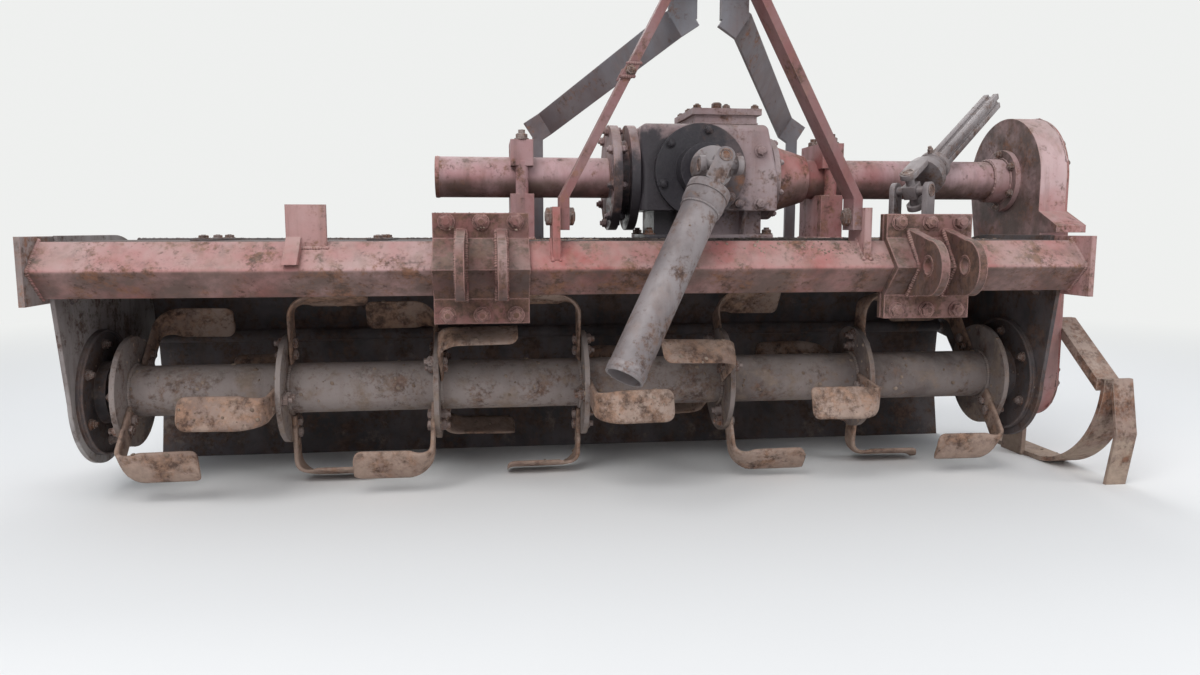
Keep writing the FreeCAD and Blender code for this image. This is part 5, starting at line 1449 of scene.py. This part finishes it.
@dataclass
class Gearbox:
    """Cast details, covers and bolts of the gearbox. Sizes in millimetres."""

    shop: Workshop
    input_x: float = 180.0
    input_z: float = 640.0
    cover_circle: float = 82.0
    ring_circle: float = 97.0
    drive_y: float = 98.5
    drive_z: float = 630.0

    def build(self) -> None:
        """Make the parts of the gearbox that are bolted or cast on."""
        self.covers()
        self.side_rings()
        self.casting()
        self.foot()

    def covers(self) -> None:
        """Bolts of the raised cover and of the input cover, and the breather."""
        low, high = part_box("gearbox_cover")
        spots = []
        for i in range(3):
            for y in (low.y + mm(11), high.y - mm(11)):
                spots.append(Spot(Vector((low.x + mm(12) + (high.x - low.x - mm(24)) * i / 2, y, high.z)), UP))
        for x in (low.x + mm(12), high.x - mm(12)):
            spots.append(Spot(Vector((x, (low.y + high.y) / 2, high.z)), UP))
        self.shop.bolts("lid_bolts", spots, Bolt(head=8, height=6, washer=10, washer_height=1.5, thread=4,
                                                 thread_height=2), finish="pin_steel", seed=21)
        centre = Vector((mm(self.input_x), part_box("input_cover")[0].y + mm(45), mm(self.input_z)))
        self.shop.bolts("input_cover_bolts", ring(centre, "Y", mm(self.cover_circle), 6, FRONT, 20.0),
                        Bolt(head=8, height=6, washer=10, washer_height=1.5, thread=4, thread_height=2),
                        finish="grease_and_painted_shade_iron", seed=22)
        front = [Spot(Vector((0.308, -0.0065, z)), FRONT) for z in (0.681, 0.574)]
        front += [Spot(Vector((0.262, -0.0065, 0.574)), FRONT)]
        self.shop.bolts("housing_plugs", front, Bolt(head=10, height=8, washer=13, washer_height=3, thread=5,
                                                     thread_height=1), finish="gearbox_iron", seed=23)
        breather = Form()
        breather.lathe(Vector((241.0, 98.5, 768.0)), UP, ((0, 0), (0, 9), (4, 9), (4, 5), (10, 5), (11, 11),
                                                          (20, 11), (23, 8), (23, 0)), 20)
        self.shop.keep(breather.mesh("breather"), "breather", "root", "pin_steel")

    def side_rings(self) -> None:
        """Bolts of the left flange rings and of the cone on the right."""
        low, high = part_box("gearbox_rings")
        axis = Vector((low.x, mm(self.drive_y), mm(self.drive_z)))
        self.shop.bolts("ring_bolts", ring(axis, "X", mm(self.ring_circle), 8, LEFT, 12.0),
                        Bolt(head=9, height=7, washer=11, washer_height=1.5, thread=5), finish="ring_paint",
                        seed=24)
        seam = Vector((low.x + mm(37), mm(self.drive_y), mm(self.drive_z)))
        self.shop.bolts("ring_nuts", ring(seam - RIGHT * mm(19), "X", mm(self.ring_circle), 8, RIGHT, 12.0),
                        Bolt(head=9, height=8, washer=10, washer_height=1, thread=5, thread_height=3),
                        finish="ring_paint", seed=25)
        plate = Form()
        centre = Vector((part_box("gearbox_flange_right")[0].x * 1000.0, self.drive_y, self.drive_z))
        plate.lathe(centre, RIGHT, ((-2.0, 60.0), (-2.0, 87.0), (9.0, 87.0), (11.0, 85.0), (11.0, 60.0)), 48,
                    closed=True)
        self.shop.keep(plate.mesh("cone_flange"), "cone_flange", "root", "gearbox_iron")
        face = centre / 1000.0 + RIGHT * mm(11)
        self.shop.bolts("cone_bolts", ring(face, "X", mm(80.0), 8, RIGHT, 22.5),
                        Bolt(head=6.5, height=5.5, washer=7.5, washer_height=1, thread=3.5, thread_height=2),
                        finish="gearbox_iron", seed=26)

    def casting(self) -> None:
        """Ribs and seam cast on the housing."""
        low, high = (corner * 1000.0 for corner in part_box("gearbox_housing"))
        ribs = Form()
        for x in (130.0, 205.0, 280.0):
            outline = [Vector((x - 4, high.y - 4, 566)), Vector((x - 4, high.y + 9, 576)),
                       Vector((x - 4, high.y + 9, 712)), Vector((x - 4, high.y - 4, 726))]
            ribs.prism(outline, Vector((8.0, 0.0, 0.0)))
        for x in (140.0, 210.0, 280.0):
            outline = [Vector((x - 4, 26.0, 500.5)), Vector((x - 4, -2.0, 562.0)), Vector((x - 4, 40.0, 562.0)),
                       Vector((x - 4, 40.0, 500.5))]
            ribs.prism(outline, Vector((8.0, 0.0, 0.0)))
        ribs.soften(1.8, 2)
        self.shop.keep(ribs.mesh("housing_ribs"), "housing_ribs", "root", "gearbox_iron")
        beam = mm(738.0)
        lid_low, lid_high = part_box("gearbox_cover")
        inset = mm(8.0)
        corners = [Vector((lid_low.x + inset, lid_low.y + inset, beam)),
                   Vector((lid_high.x - inset, lid_low.y + inset, beam)),
                   Vector((lid_high.x - inset, lid_high.y - inset, beam)),
                   Vector((lid_low.x + inset, lid_high.y - inset, beam))]
        self.shop.welds("lid_seam", [corners + corners[:1]], 2.5, finish="gearbox_iron", seed=27)

    def foot(self) -> None:
        """Sole plate that bolts the pedestal to the deck."""
        sole = Form()
        sole.slab((72.0, 14.0, 499.5), (346.0, 190.0, 511.0))
        sole.soften(2.0, 2)
        self.shop.keep(sole.mesh("gearbox_sole"), "gearbox_sole", "root", "gearbox_iron")
        spots = [Spot(Vector((x, y, 0.511)), UP) for x in (0.083, 0.335) for y in (0.028, 0.176)]
        self.shop.bolts("sole_bolts", spots, Bolt(head=10, height=8, washer=13, thread=6), seed=28)


@dataclass
class TubeClamps:
    """Fastenings of the two clamps that hold the top tubes. Sizes in millimetres."""

    shop: Workshop
    bolt_inset: float = 12.0

    def build(self) -> None:
        """Make the nuts of the clamp bolts and the beads of the blocks."""
        nuts, heads, lines = [], [], []
        for side in ("left", "right"):
            low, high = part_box("tube_clamp_" + side)
            x = (low.x + high.x) / 2
            for y in (low.y + mm(self.bolt_inset), high.y - mm(self.bolt_inset)):
                nuts.append(Spot(Vector((x, y, high.z)), UP))
            lines.append([Vector((low.x, low.y, low.z + mm(2))), Vector((high.x, low.y, low.z + mm(2))),
                          Vector((high.x, high.y, low.z + mm(2))), Vector((low.x, high.y, low.z + mm(2))),
                          Vector((low.x, low.y, low.z + mm(2)))])
        self.shop.bolts("tube_clamp_nuts", nuts, Bolt(head=12, height=10, washer=15, thread=7,
                                                      thread_height=7), seed=31)
        self.shop.welds("tube_clamp_welds", lines, 3.5, seed=32)
        collar = Form()
        tube_low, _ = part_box("tube_left")
        collar.lathe(Vector((tube_low.x * 1000.0, 98.5, 630.0)), RIGHT,
                     ((0.0, 34.5), (0.0, 42.6), (5.0, 43.4), (9.0, 42.6), (9.0, 41.0), (3.0, 34.5)), 40,
                     closed=True)
        self.shop.keep(collar.mesh("tube_lip"), "tube_lip", "root", "red_paint")


@dataclass
class DriveCase:
    """Rim, bolts and plugs of the side drive case. Sizes in millimetres."""

    shop: Workshop
    top: tuple[float, float] = (98.5, 630.0)
    top_radius: float = 137.0
    low: tuple[float, float] = (48.5, 200.0)
    low_radius: float = 95.0
    inset: float = 12.0

    def outline(self, inset: float) -> list[tuple[float, float]]:
        """Round ends and back edge of the case, seen along X.

        Args:
            inset: distance inside the edge.

        Returns:
            Points from the top's front, over the top and down the back, to the bottom's front.
        """
        lean = math.atan2(self.top[0] - self.low[0], self.top[1] - self.low[1])
        taper = math.asin((self.top_radius - self.low_radius)
                          / math.hypot(self.top[0] - self.low[0], self.top[1] - self.low[1]))
        side = taper - lean
        points = []
        radius = self.top_radius - inset
        for i in range(9):
            angle = math.radians(165.0) + (side - math.radians(165.0)) * i / 8
            points.append((self.top[0] + radius * math.cos(angle), self.top[1] + radius * math.sin(angle)))
        radius = self.low_radius - inset
        first = side
        ends = [(self.low[0] + radius * math.cos(first - math.pi * 0.95 * i / 5),
                 self.low[1] + radius * math.sin(first - math.pi * 0.95 * i / 5)) for i in range(6)]
        start = points[-1]
        points += [(start[0] + (ends[0][0] - start[0]) * i / 4, start[1] + (ends[0][1] - start[1]) * i / 4)
                   for i in range(1, 4)]
        front = math.pi - lean - taper
        foot, head = ((centre[0] + (reach - inset) * math.cos(front), centre[1] + (reach - inset) * math.sin(front))
                      for centre, reach in ((self.low, self.low_radius), (self.top, self.top_radius)))
        rise = [(foot[0] + (head[0] - foot[0]) * i / 4, foot[1] + (head[1] - foot[1]) * i / 4)
                for i in range(4)]
        return points + ends + rise

    def build(self) -> None:
        """Make the case's bolts, beads and plugs."""
        low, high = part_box("drive_case_cover")
        spots = [Spot(Vector((high.x, mm(y), mm(z))), RIGHT) for y, z in self.outline(self.inset)]
        self.shop.bolts("case_cover_bolts", spots, Bolt(head=7.5, height=6, washer=9.5, washer_height=1.5,
                                                        thread=4, thread_height=2), seed=41)
        seam = [Vector((low.x, mm(y), mm(z))) for y, z in self.outline(-0.5)]
        self.shop.welds("case_rim_bead", [seam], 2.6, finish="case_paint", seed=42)
        ring_low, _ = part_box("case_flange")
        face = Vector((mm(897.0), mm(self.top[0]), mm(self.top[1])))
        self.shop.bolts("case_ring_bolts", ring(face, "X", mm(58.5), 6, LEFT, 30.0),
                        Bolt(head=8, height=6.5, washer=9, washer_height=1.5, thread=4.5, thread_height=3),
                        seed=43)
        sleeve = Vector((ring_low.x, mm(self.top[0]), mm(self.top[1])))
        self.shop.welds("sleeve_bead", [circle(sleeve, RIGHT, mm(44.0)),
                                        circle(face, RIGHT, mm(49.0))], 3.0, finish="case_paint", seed=44)
        plugs = Form()
        for y, z, size in ((150.0, 640.0, 15.0), (55.0, 320.0, 11.0), (20.0, 135.0, 11.0)):
            plugs.lathe(Vector((974.0, y, z)), RIGHT, ((0.0, 0.0), (0.0, size + 5), (2.0, size + 5),
                                                       (2.0, size), (9.0, size), (9.0, 0.0)), 6)
        self.shop.keep(plugs.mesh("case_plugs"), "case_plugs", "root", "pin_steel")


@dataclass
class Bearings:
    """Bolts and guard rims of the rotor's bearings. Sizes in millimetres."""

    shop: Workshop
    guard_circle: float = 96.0
    housing_circle: float = 50.0

    def build(self) -> None:
        """Make the bearings' bolts and the rims of their guards."""
        spots, nuts, small = [], [], []
        rims = Form()
        axis = middle("rotor_tube")
        for node, side, plate in (("bearing_left", 1, -1.021), ("bearing_right", -1, 0.909)):
            low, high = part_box(node)
            guard = low.x + mm(6) if side > 0 else high.x - mm(6)
            inner = high.x if side > 0 else low.x
            way = Vector((side, 0, 0))
            spots += ring(Vector((guard, axis.y, axis.z)), "X", mm(self.guard_circle), 6, way, 30.0)
            small += ring(Vector((inner, axis.y, axis.z)), "X", mm(self.housing_circle), 4, way, 45.0)
            if side > 0:
                nuts += ring(Vector((plate, axis.y, axis.z)), "X", mm(self.guard_circle), 6, -way, 30.0)
            centre = Vector((guard, axis.y, axis.z)) * 1000.0
            rims.lathe(centre, way, ((-1.0, 118.0), (-1.0, 124.5), (5.0, 124.5), (6.5, 123.0), (6.5, 120.0)),
                       56, closed=True)
        self.shop.keep(rims.mesh("guard_rims"), "guard_rims", "root", "dark_paint")
        self.shop.bolts("guard_bolts", spots, Bolt(head=9, height=7, washer=11, thread=5), seed=51)
        self.shop.bolts("guard_nuts", nuts, Bolt(head=9, height=6, washer=11, washer_height=1.5, thread=5,
                                                 thread_height=2), seed=52)
        self.shop.bolts("bearing_bolts", small, Bolt(head=7, height=6, washer=8, washer_height=1, thread=4,
                                                     thread_height=2), seed=53)


@dataclass
class Housing:
    """Beads, bolts and straps of the beam, end plates, side plates and hood. Sizes in millimetres."""

    shop: Workshop
    strap_width: float = 40.0
    hood_radius: float = 200.0

    def build(self) -> None:
        """Make the welded body's details."""
        self.beads()
        self.straps()
        self.bolts()

    def beads(self) -> None:
        """Beads between beam, end plates, side plates and rear bar."""
        beam = middle("main_beam")
        half = mm(51.5)
        lines = []
        for x in (-1.0205, 0.9085):
            lines.append([Vector((x, beam.y, beam.z + half)), Vector((x, beam.y - half, beam.z)),
                          Vector((x, beam.y, beam.z - half)), Vector((x, beam.y + half, beam.z)),
                          Vector((x, beam.y, beam.z + half))])
        low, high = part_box("beam_bracket")
        lines.append([Vector((low.x, beam.y - mm(15), beam.z + mm(38))),
                      Vector((high.x, beam.y - mm(15), beam.z + mm(38)))])
        self.shop.welds("beam_welds", lines, 4.0, seed=61)
        bar_low, bar_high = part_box("hood_rear_bar")
        bar = [[Vector((bar_low.x, bar_low.y, mm(499))), Vector((bar_high.x, bar_low.y, mm(499)))]]
        self.shop.welds("rear_bar_weld", bar, 4.0, finish="dark_paint", seed=65)
        seam = []
        for lug in ("mast_lug_left", "mast_lug_right"):
            lug_low, lug_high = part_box(lug)
            for x in (lug_low.x, lug_high.x):
                seam.append([Vector((x, beam.y - mm(38), beam.z + mm(15))), Vector((x, beam.y, beam.z + mm(52))),
                             Vector((x, beam.y + mm(38), beam.z + mm(15)))])
        self.shop.welds("lug_welds", seam, 4.0, seed=62)

    def straps(self) -> None:
        """Stiffening straps bent over the hood."""
        form = Form()
        deck, bend_y, bend_z = 500.0, 148.5, 300.0
        line = [(-60.0, deck), (bend_y, deck)]
        for i in range(1, 13):
            angle = math.radians(90.0 - 7.5 * i)
            line.append((bend_y + self.hood_radius * math.cos(angle), bend_z + self.hood_radius * math.sin(angle)))
        for x in (-800.0, -480.0, 700.0):
            inner = [Vector((x, y - 0.5, z - 0.5)) for y, z in line]
            outer = []
            for i, (y, z) in enumerate(line):
                y0, z0 = line[max(i - 1, 0)]
                y1, z1 = line[min(i + 1, len(line) - 1)]
                away = Vector((0.0, -(z1 - z0), y1 - y0)).normalized()
                outer.append(Vector((x, y, z)) + away * 4.0)
            for i in range(len(line) - 1):
                if 278.0 < line[i][0] and line[i][1] > 452.0:
                    continue
                form.prism([inner[i], inner[i + 1], outer[i + 1], outer[i]],
                           Vector((self.strap_width, 0.0, 0.0)))
        self.shop.keep(form.mesh("hood_straps", 50.0), "hood_straps", "root", "dark_paint")

    def bolts(self) -> None:
        """Bolts of the hood's straps and the side plates."""
        deck = [Spot(Vector((mm(x + 20.0), mm(y), mm(504.0))), UP) for x in (-800, -480, 700)
                for y in (-45, 45, 125)]
        self.shop.bolts("strap_bolts", deck, Bolt(head=9, height=5, washer=11, washer_height=1.5, thread=4,
                                                  thread_height=1), seed=63)
        side = []
        for y, z in ((-60.0, 450.0), (-60.0, 395.0), (60.0, 452.0), (180.0, 452.0), (262.0, 452.0)):
            side.append(Spot(Vector((-1.021, mm(y), mm(z))), LEFT))
            side.append(Spot(Vector((0.901, mm(y), mm(z))), LEFT))
            side.append(Spot(Vector((-1.013, mm(y), mm(z))), RIGHT))
        self.shop.bolts("side_plate_bolts", side, Bolt(head=9, height=7, washer=12, washer_height=1.5,
                                                       thread=5, thread_height=2), finish="dark_paint", seed=64)


@dataclass
class Board:
    """Edge bar and rivets of the trailing board. Sizes in millimetres."""

    shop: Workshop
    bar_height: float = 30.0

    def build(self) -> None:
        """Make the board's stiffening and its rivets."""
        low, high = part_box("trailing_board")
        form = Form()
        x0, x1 = low.x * 1000.0 + 6.0, high.x * 1000.0 - 6.0
        back = [(308.6, 6.0), (315.0, 36.0)]
        outline = [Vector((x0, back[0][0] - 1.0, back[0][1])), Vector((x0, back[0][0] + 5.5, back[0][1])),
                   Vector((x0, back[1][0] + 5.5, back[1][1])), Vector((x0, back[1][0] - 1.0, back[1][1]))]
        form.prism(outline, Vector((x1 - x0, 0.0, 0.0)))
        form.soften(1.2, 2)
        self.shop.keep(form.mesh("board_edge_bar"), "board_edge_bar", "board", "dark_paint")
        spots = [Spot(Vector((low.x + mm(60 + 125 * i), mm(317.0), mm(21.0))), BACK) for i in range(15)]
        self.shop.bolts("board_rivets", spots, Bolt(head=7, height=3.5, washer=7, washer_height=0.5, thread=2,
                                                    thread_height=0.5, sides=12), "board", "dark_paint", seed=71)


@dataclass
class Skid:
    """Bolts of the skid. Sizes in millimetres."""

    shop: Workshop

    def build(self) -> None:
        """Make the skid's fastenings."""
        low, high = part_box("skid_strut")
        x = high.x
        spots = [Spot(Vector((x, high.y - mm(14), high.z - mm(30))), RIGHT),
                 Spot(Vector((x, high.y - mm(26), high.z - mm(58))), RIGHT)]
        self.shop.bolts("strut_bolts", spots, Bolt(head=9, height=6, washer=11, washer_height=1.5, thread=5,
                                                   thread_height=2), seed=81)


@dataclass
class Joint:
    """Bearing caps and rounded forgings of one universal joint. Sizes in millimetres."""

    shop: Workshop
    name: str
    centre: Vector
    pins: tuple[tuple[Vector, str], ...]
    forged: tuple[tuple[str, str], ...]
    half: float = 41.0

    def build(self) -> None:
        """Make the joint's forgings and bearing caps."""
        for node, body in self.forged:
            form = Form.of_node(node).soften(1.6, 2, 40.0)
            self.shop.keep(form.mesh(node + "_forging"), node + "_forging", body, "shaft_steel", [node])
        for index, (axis, body) in enumerate(self.pins):
            caps = Form()
            for sign in (-1, 1):
                out = axis * sign
                seat = self.centre + out * self.half
                caps.lathe(seat, out, ((-1.0, 0.0), (-1.0, 9.0), (-0.6, 9.0), (0.3, 8.2), (0.3, 0.0)), 24)
                caps.lathe(seat, out, ((-0.5, 9.6), (-0.5, 12.8), (1.2, 12.8), (1.8, 12.2), (1.8, 10.2),
                                       (1.2, 9.6)), 28, closed=True)
            name = "%s_caps_%d" % (self.name, index + 1)
            self.shop.keep(caps.mesh(name), name, body, "pin_steel")


@dataclass
class PowerShaft:
    """Joint, tube and collars of the power shaft. Sizes in millimetres and degrees."""

    shop: Workshop
    centre: Vector = Vector((180.0, -171.5, 640.0))
    lean: float = 22.6
    side: float = 27.0
    length: float = 450.0
    tube: float = 35.0

    def build(self) -> None:
        """Make the joint's forgings, then the tube's lip, collar and beads."""
        lean, side = math.radians(self.lean), math.radians(self.side)
        down = Vector((0.0, -math.sin(lean), -math.cos(lean)))
        hub = down * math.cos(side) - RIGHT * math.sin(side)
        pins = RIGHT.cross(down)
        Joint(self.shop, "drive_joint", self.centre, ((RIGHT.copy(), "root"), (pins, "power_shaft")),
              (("input_yoke", "root"), ("pto_cross", "shaft_cross"), ("pto_shaft", "power_shaft"))).build()
        end = self.centre + hub * self.length
        trim = Form()
        trim.lathe(end, -hub, ((7.0, 34.0), (7.0, 35.6), (8.5, 36.4), (18.0, 36.4), (20.0, 35.2),
                               (20.0, 34.0)), 44, closed=True)
        start = self.centre + hub * 72.0
        trim.lathe(start, hub, ((-1.0, 30.0), (-1.0, 38.0), (3.0, 40.0), (20.0, 40.0), (26.0, 37.0),
                                (30.0, 35.4), (30.0, 30.0)), 44, closed=True)
        self.shop.keep(trim.mesh("shaft_collars"), "shaft_collars", "power_shaft", "shaft_steel")
        beads = [circle((start + hub * 30.5) / 1000.0, hub, mm(35.8))]
        self.shop.welds("shaft_bead", beads, 2.4, "power_shaft", "shaft_steel", 91)
        self.shop.clods("dust_on_shaft", [node_mesh("pto_shaft")], 700.0, 2.2, "power_shaft",
                        least_rise=-0.1, seed=92)


@dataclass
class LooseHalf:
    """Second half of the power shaft that lies on the deck. Sizes in millimetres and degrees."""

    shop: Workshop
    centre: Vector = Vector((612.0, -61.5, 600.0))
    turn: float = 37.0
    rise: float = 30.0

    def build(self) -> None:
        """Make its joint's forgings and the collar of its profile bar."""
        turn, rise = math.radians(self.turn), math.radians(self.rise)
        level = Vector((math.cos(turn), math.sin(turn), 0.0))
        hub = level * math.cos(rise) + UP * math.sin(rise)
        low_pins = level.cross(UP).normalized()
        high_pins = hub.cross(low_pins).normalized()
        Joint(self.shop, "loose_joint", self.centre, ((low_pins, "root"), (high_pins, "root")),
              (("loose_yoke_low", "root"), ("loose_cross", "root"), ("loose_yoke_high", "root"),
               ("loose_bar", "root"))).build()
        collar = Form()
        start = self.centre + hub * 100.0
        collar.lathe(start, hub, ((0.0, 24.5), (0.0, 31.0), (3.0, 33.5), (12.0, 33.5), (15.0, 31.0),
                                  (15.0, 24.5)), 36, closed=True)
        self.shop.keep(collar.mesh("loose_collar"), "loose_collar", "root", "shaft_steel")
        spot = [Spot((self.centre + hub * 107.0 - high_pins * 33.0) / 1000.0, -high_pins)]
        self.shop.bolts("loose_pin", spot, Bolt(head=6, height=8, washer=7, washer_height=1, thread=4), seed=95)


@dataclass
class Ground:
    """Soil and oily dirt that lie on the machine. Densities are clods on a square metre."""

    shop: Workshop

    def patch(self, low: tuple[float, float, float], high: tuple[float, float, float]) -> bpy.types.Mesh:
        """Flat patch that carries clods, in millimetres, level or sloped along Y."""
        mesh = bpy.data.meshes.new("patch")
        corners = [(low[0], low[1], low[2]), (high[0], low[1], low[2]), (high[0], high[1], high[2]),
                   (low[0], high[1], high[2])]
        mesh.from_pydata([Vector(corner) / 1000.0 for corner in corners], [], [(0, 1, 2, 3)])
        return mesh

    def build(self) -> None:
        """Scatter the soil."""
        beam = [self.patch((120.0, -178.0, 476.0), (480.0, -155.5, 498.5)),
                self.patch((250.0, -190.0, 463.5), (470.0, -155.5, 498.5))]
        self.shop.clods("dirt_on_beam", beam, 9000.0, 3.4, seed=101)
        self.shop.clods("dirt_on_left_beam", [self.patch((-980.0, -175.0, 479.0), (-400.0, -155.0, 499.0))],
                        900.0, 2.4, seed=102)
        deck = [self.patch((-330.0, -80.0, 500.4), (880.0, 150.0, 500.4))]
        self.shop.clods("dirt_on_deck", deck, 2600.0, 5.0, seed=103)
        greasy = [self.patch((-20.0, -100.0, 500.4), (480.0, 40.0, 500.4))]
        self.shop.clods("oily_dirt_on_deck", greasy, 9000.0, 9.0, finish="black_grime", seed=104)
        clamps = [self.patch((-348.0, -168.0, 551.2), (-178.0, -155.0, 551.2)),
                  self.patch((-340.0, -186.0, 520.0), (-186.0, -170.0, 534.0))]
        self.shop.clods("dirt_on_clamps", clamps, 9000.0, 3.0, seed=105)
        self.shop.clods("soil_on_skid", [node_mesh("skid_right")], 900.0, 4.0, seed=106)
        self.shop.clods("soil_on_plates", [node_mesh("bearing_right"), node_mesh("bearing_left")], 700.0, 4.0,
                        least_rise=-0.5, seed=107)


@dataclass
class Stage:
    """Floor, light and camera."""

    eye: tuple[float, float, float] = (-0.253, -1.7895, 0.52)
    yaw: float = -7.3
    pitch: float = -6.96
    lens: float = 26.4
    floor_size: float = 40.0
    fade_from: float = 1.6
    fade_to: float = 4.6
    backdrop: Colour = (0.86, 0.87, 0.86)

    def floor(self) -> None:
        """Lay a plain pale floor."""
        mesh = bpy.data.meshes.new("floor")
        half = self.floor_size / 2
        mesh.from_pydata([(-half, -half, 0), (half, -half, 0), (half, half, 0), (-half, half, 0)], [],
                         [(0, 1, 2, 3)])
        floor = bpy.data.objects.new("floor", mesh)
        bpy.context.scene.collection.objects.link(floor)
        material = bpy.data.materials.new("pale_floor")
        material.use_nodes = True
        t = Tree(material.node_tree)
        shader = t.tree.nodes["Principled BSDF"]
        shader.inputs["Base Color"].default_value = (0.8, 0.795, 0.785, 1.0)
        shader.inputs["Roughness"].default_value = 0.9
        place = t.add("ShaderNodeTexCoord")
        away = t.add("ShaderNodeVectorMath", operation="LENGTH")
        t.put(away.inputs[0], place.outputs["Object"])
        path = t.add("ShaderNodeLightPath")
        seen = t.math("ADD", path.outputs["Is Camera Ray"], path.outputs["Is Glossy Ray"], clamp=True)
        fade = t.math("MULTIPLY", t.span(away.outputs["Value"], self.fade_from, self.fade_to), seen)
        far = t.add("ShaderNodeEmission")
        t.feed(far, Color=rgba(self.backdrop), Strength=1.0)
        blend = t.add("ShaderNodeMixShader")
        t.put(blend.inputs[0], fade)
        t.put(blend.inputs[1], shader.outputs[0])
        t.put(blend.inputs[2], far.outputs[0])
        t.put(t.tree.nodes["Material Output"].inputs[0], blend.outputs[0])
        mesh.materials.append(material)

    def light(self) -> None:
        """Hang soft lamps and set the world."""
        for name, at, size, power in (("key", (-1.6, -2.6, 3.4), 2.6, 120.0),
                                      ("fill", (2.8, -2.2, 2.0), 2.2, 38.0),
                                      ("back", (0.6, 3.0, 2.8), 2.4, 55.0)):
            lamp = bpy.data.lights.new(name, "AREA")
            lamp.energy = power
            lamp.size = size
            item = bpy.data.objects.new(name, lamp)
            item.location = at
            item.rotation_euler = (Vector((0, 0, 0.4)) - Vector(at)).to_track_quat("-Z", "Y").to_euler()
            bpy.context.scene.collection.objects.link(item)
        world = bpy.data.worlds.new("studio")
        bpy.context.scene.world = world
        world.use_nodes = True
        t = Tree(world.node_tree)
        t.tree.nodes.clear()
        path = t.add("ShaderNodeLightPath")
        seen = t.math("ADD", path.outputs["Is Camera Ray"],
                      t.math("ADD", path.outputs["Is Glossy Ray"], path.outputs["Is Transmission Ray"]),
                      clamp=True)
        around = t.add("ShaderNodeBackground")
        t.feed(around, Color=(0.86, 0.92, 1.0, 1.0), Strength=0.55)
        shown = t.add("ShaderNodeBackground")
        t.feed(shown, Color=rgba(self.backdrop), Strength=1.0)
        blend = t.add("ShaderNodeMixShader")
        t.put(blend.inputs[0], seen)
        t.put(blend.inputs[1], around.outputs[0])
        t.put(blend.inputs[2], shown.outputs[0])
        t.put(t.add("ShaderNodeOutputWorld").inputs[0], blend.outputs[0])

    def camera(self) -> None:
        """Set the camera at the photograph's viewing angle."""
        lens = bpy.data.cameras.new("camera")
        lens.lens = self.lens
        lens.sensor_width = 36.0
        camera = bpy.data.objects.new("camera", lens)
        camera.location = self.eye
        camera.rotation_euler = (math.radians(90.0 + self.pitch), 0.0, math.radians(self.yaw))
        bpy.context.scene.collection.objects.link(camera)
        bpy.context.scene.camera = camera


def dress_nodes(materials: dict[str, bpy.types.Material]) -> None:
    """Give every CAD node its finish."""
    slots = {part["node"]: part["material_slot"] for part in frame["record"]["subparts"]}
    for name, node in frame["nodes"].items():
        material = materials[NODE_FINISH.get(name, slots[name])]
        if not node.material_slots:
            node.data.materials.append(material)
        for slot in node.material_slots:
            slot.material = material


def main() -> None:
    """Build the whole scene."""
    effects = Effects(wear_group(), rust_group(), painted_shade_group(), soil_group(), grease_and_shade_group())
    materials = {key: finish.build(effects) for key, finish in FINISHES.items()}
    dress_nodes(materials)
    shop = Workshop(materials)
    for part in (Rotor(shop), Stubs(shop), Hitch(shop), Mast(shop), Gearbox(shop), TubeClamps(shop),
                 DriveCase(shop), Bearings(shop), Housing(shop), Board(shop), Skid(shop), PowerShaft(shop),
                 LooseHalf(shop), Ground(shop)):
        part.build()
    stage = Stage()
    stage.floor()
    stage.light()
    stage.camera()
    bpy.context.scene.view_settings.view_transform = "Standard"
    log.info("%d pieces made", shop.made)


if __name__ == "__main__":
    main()
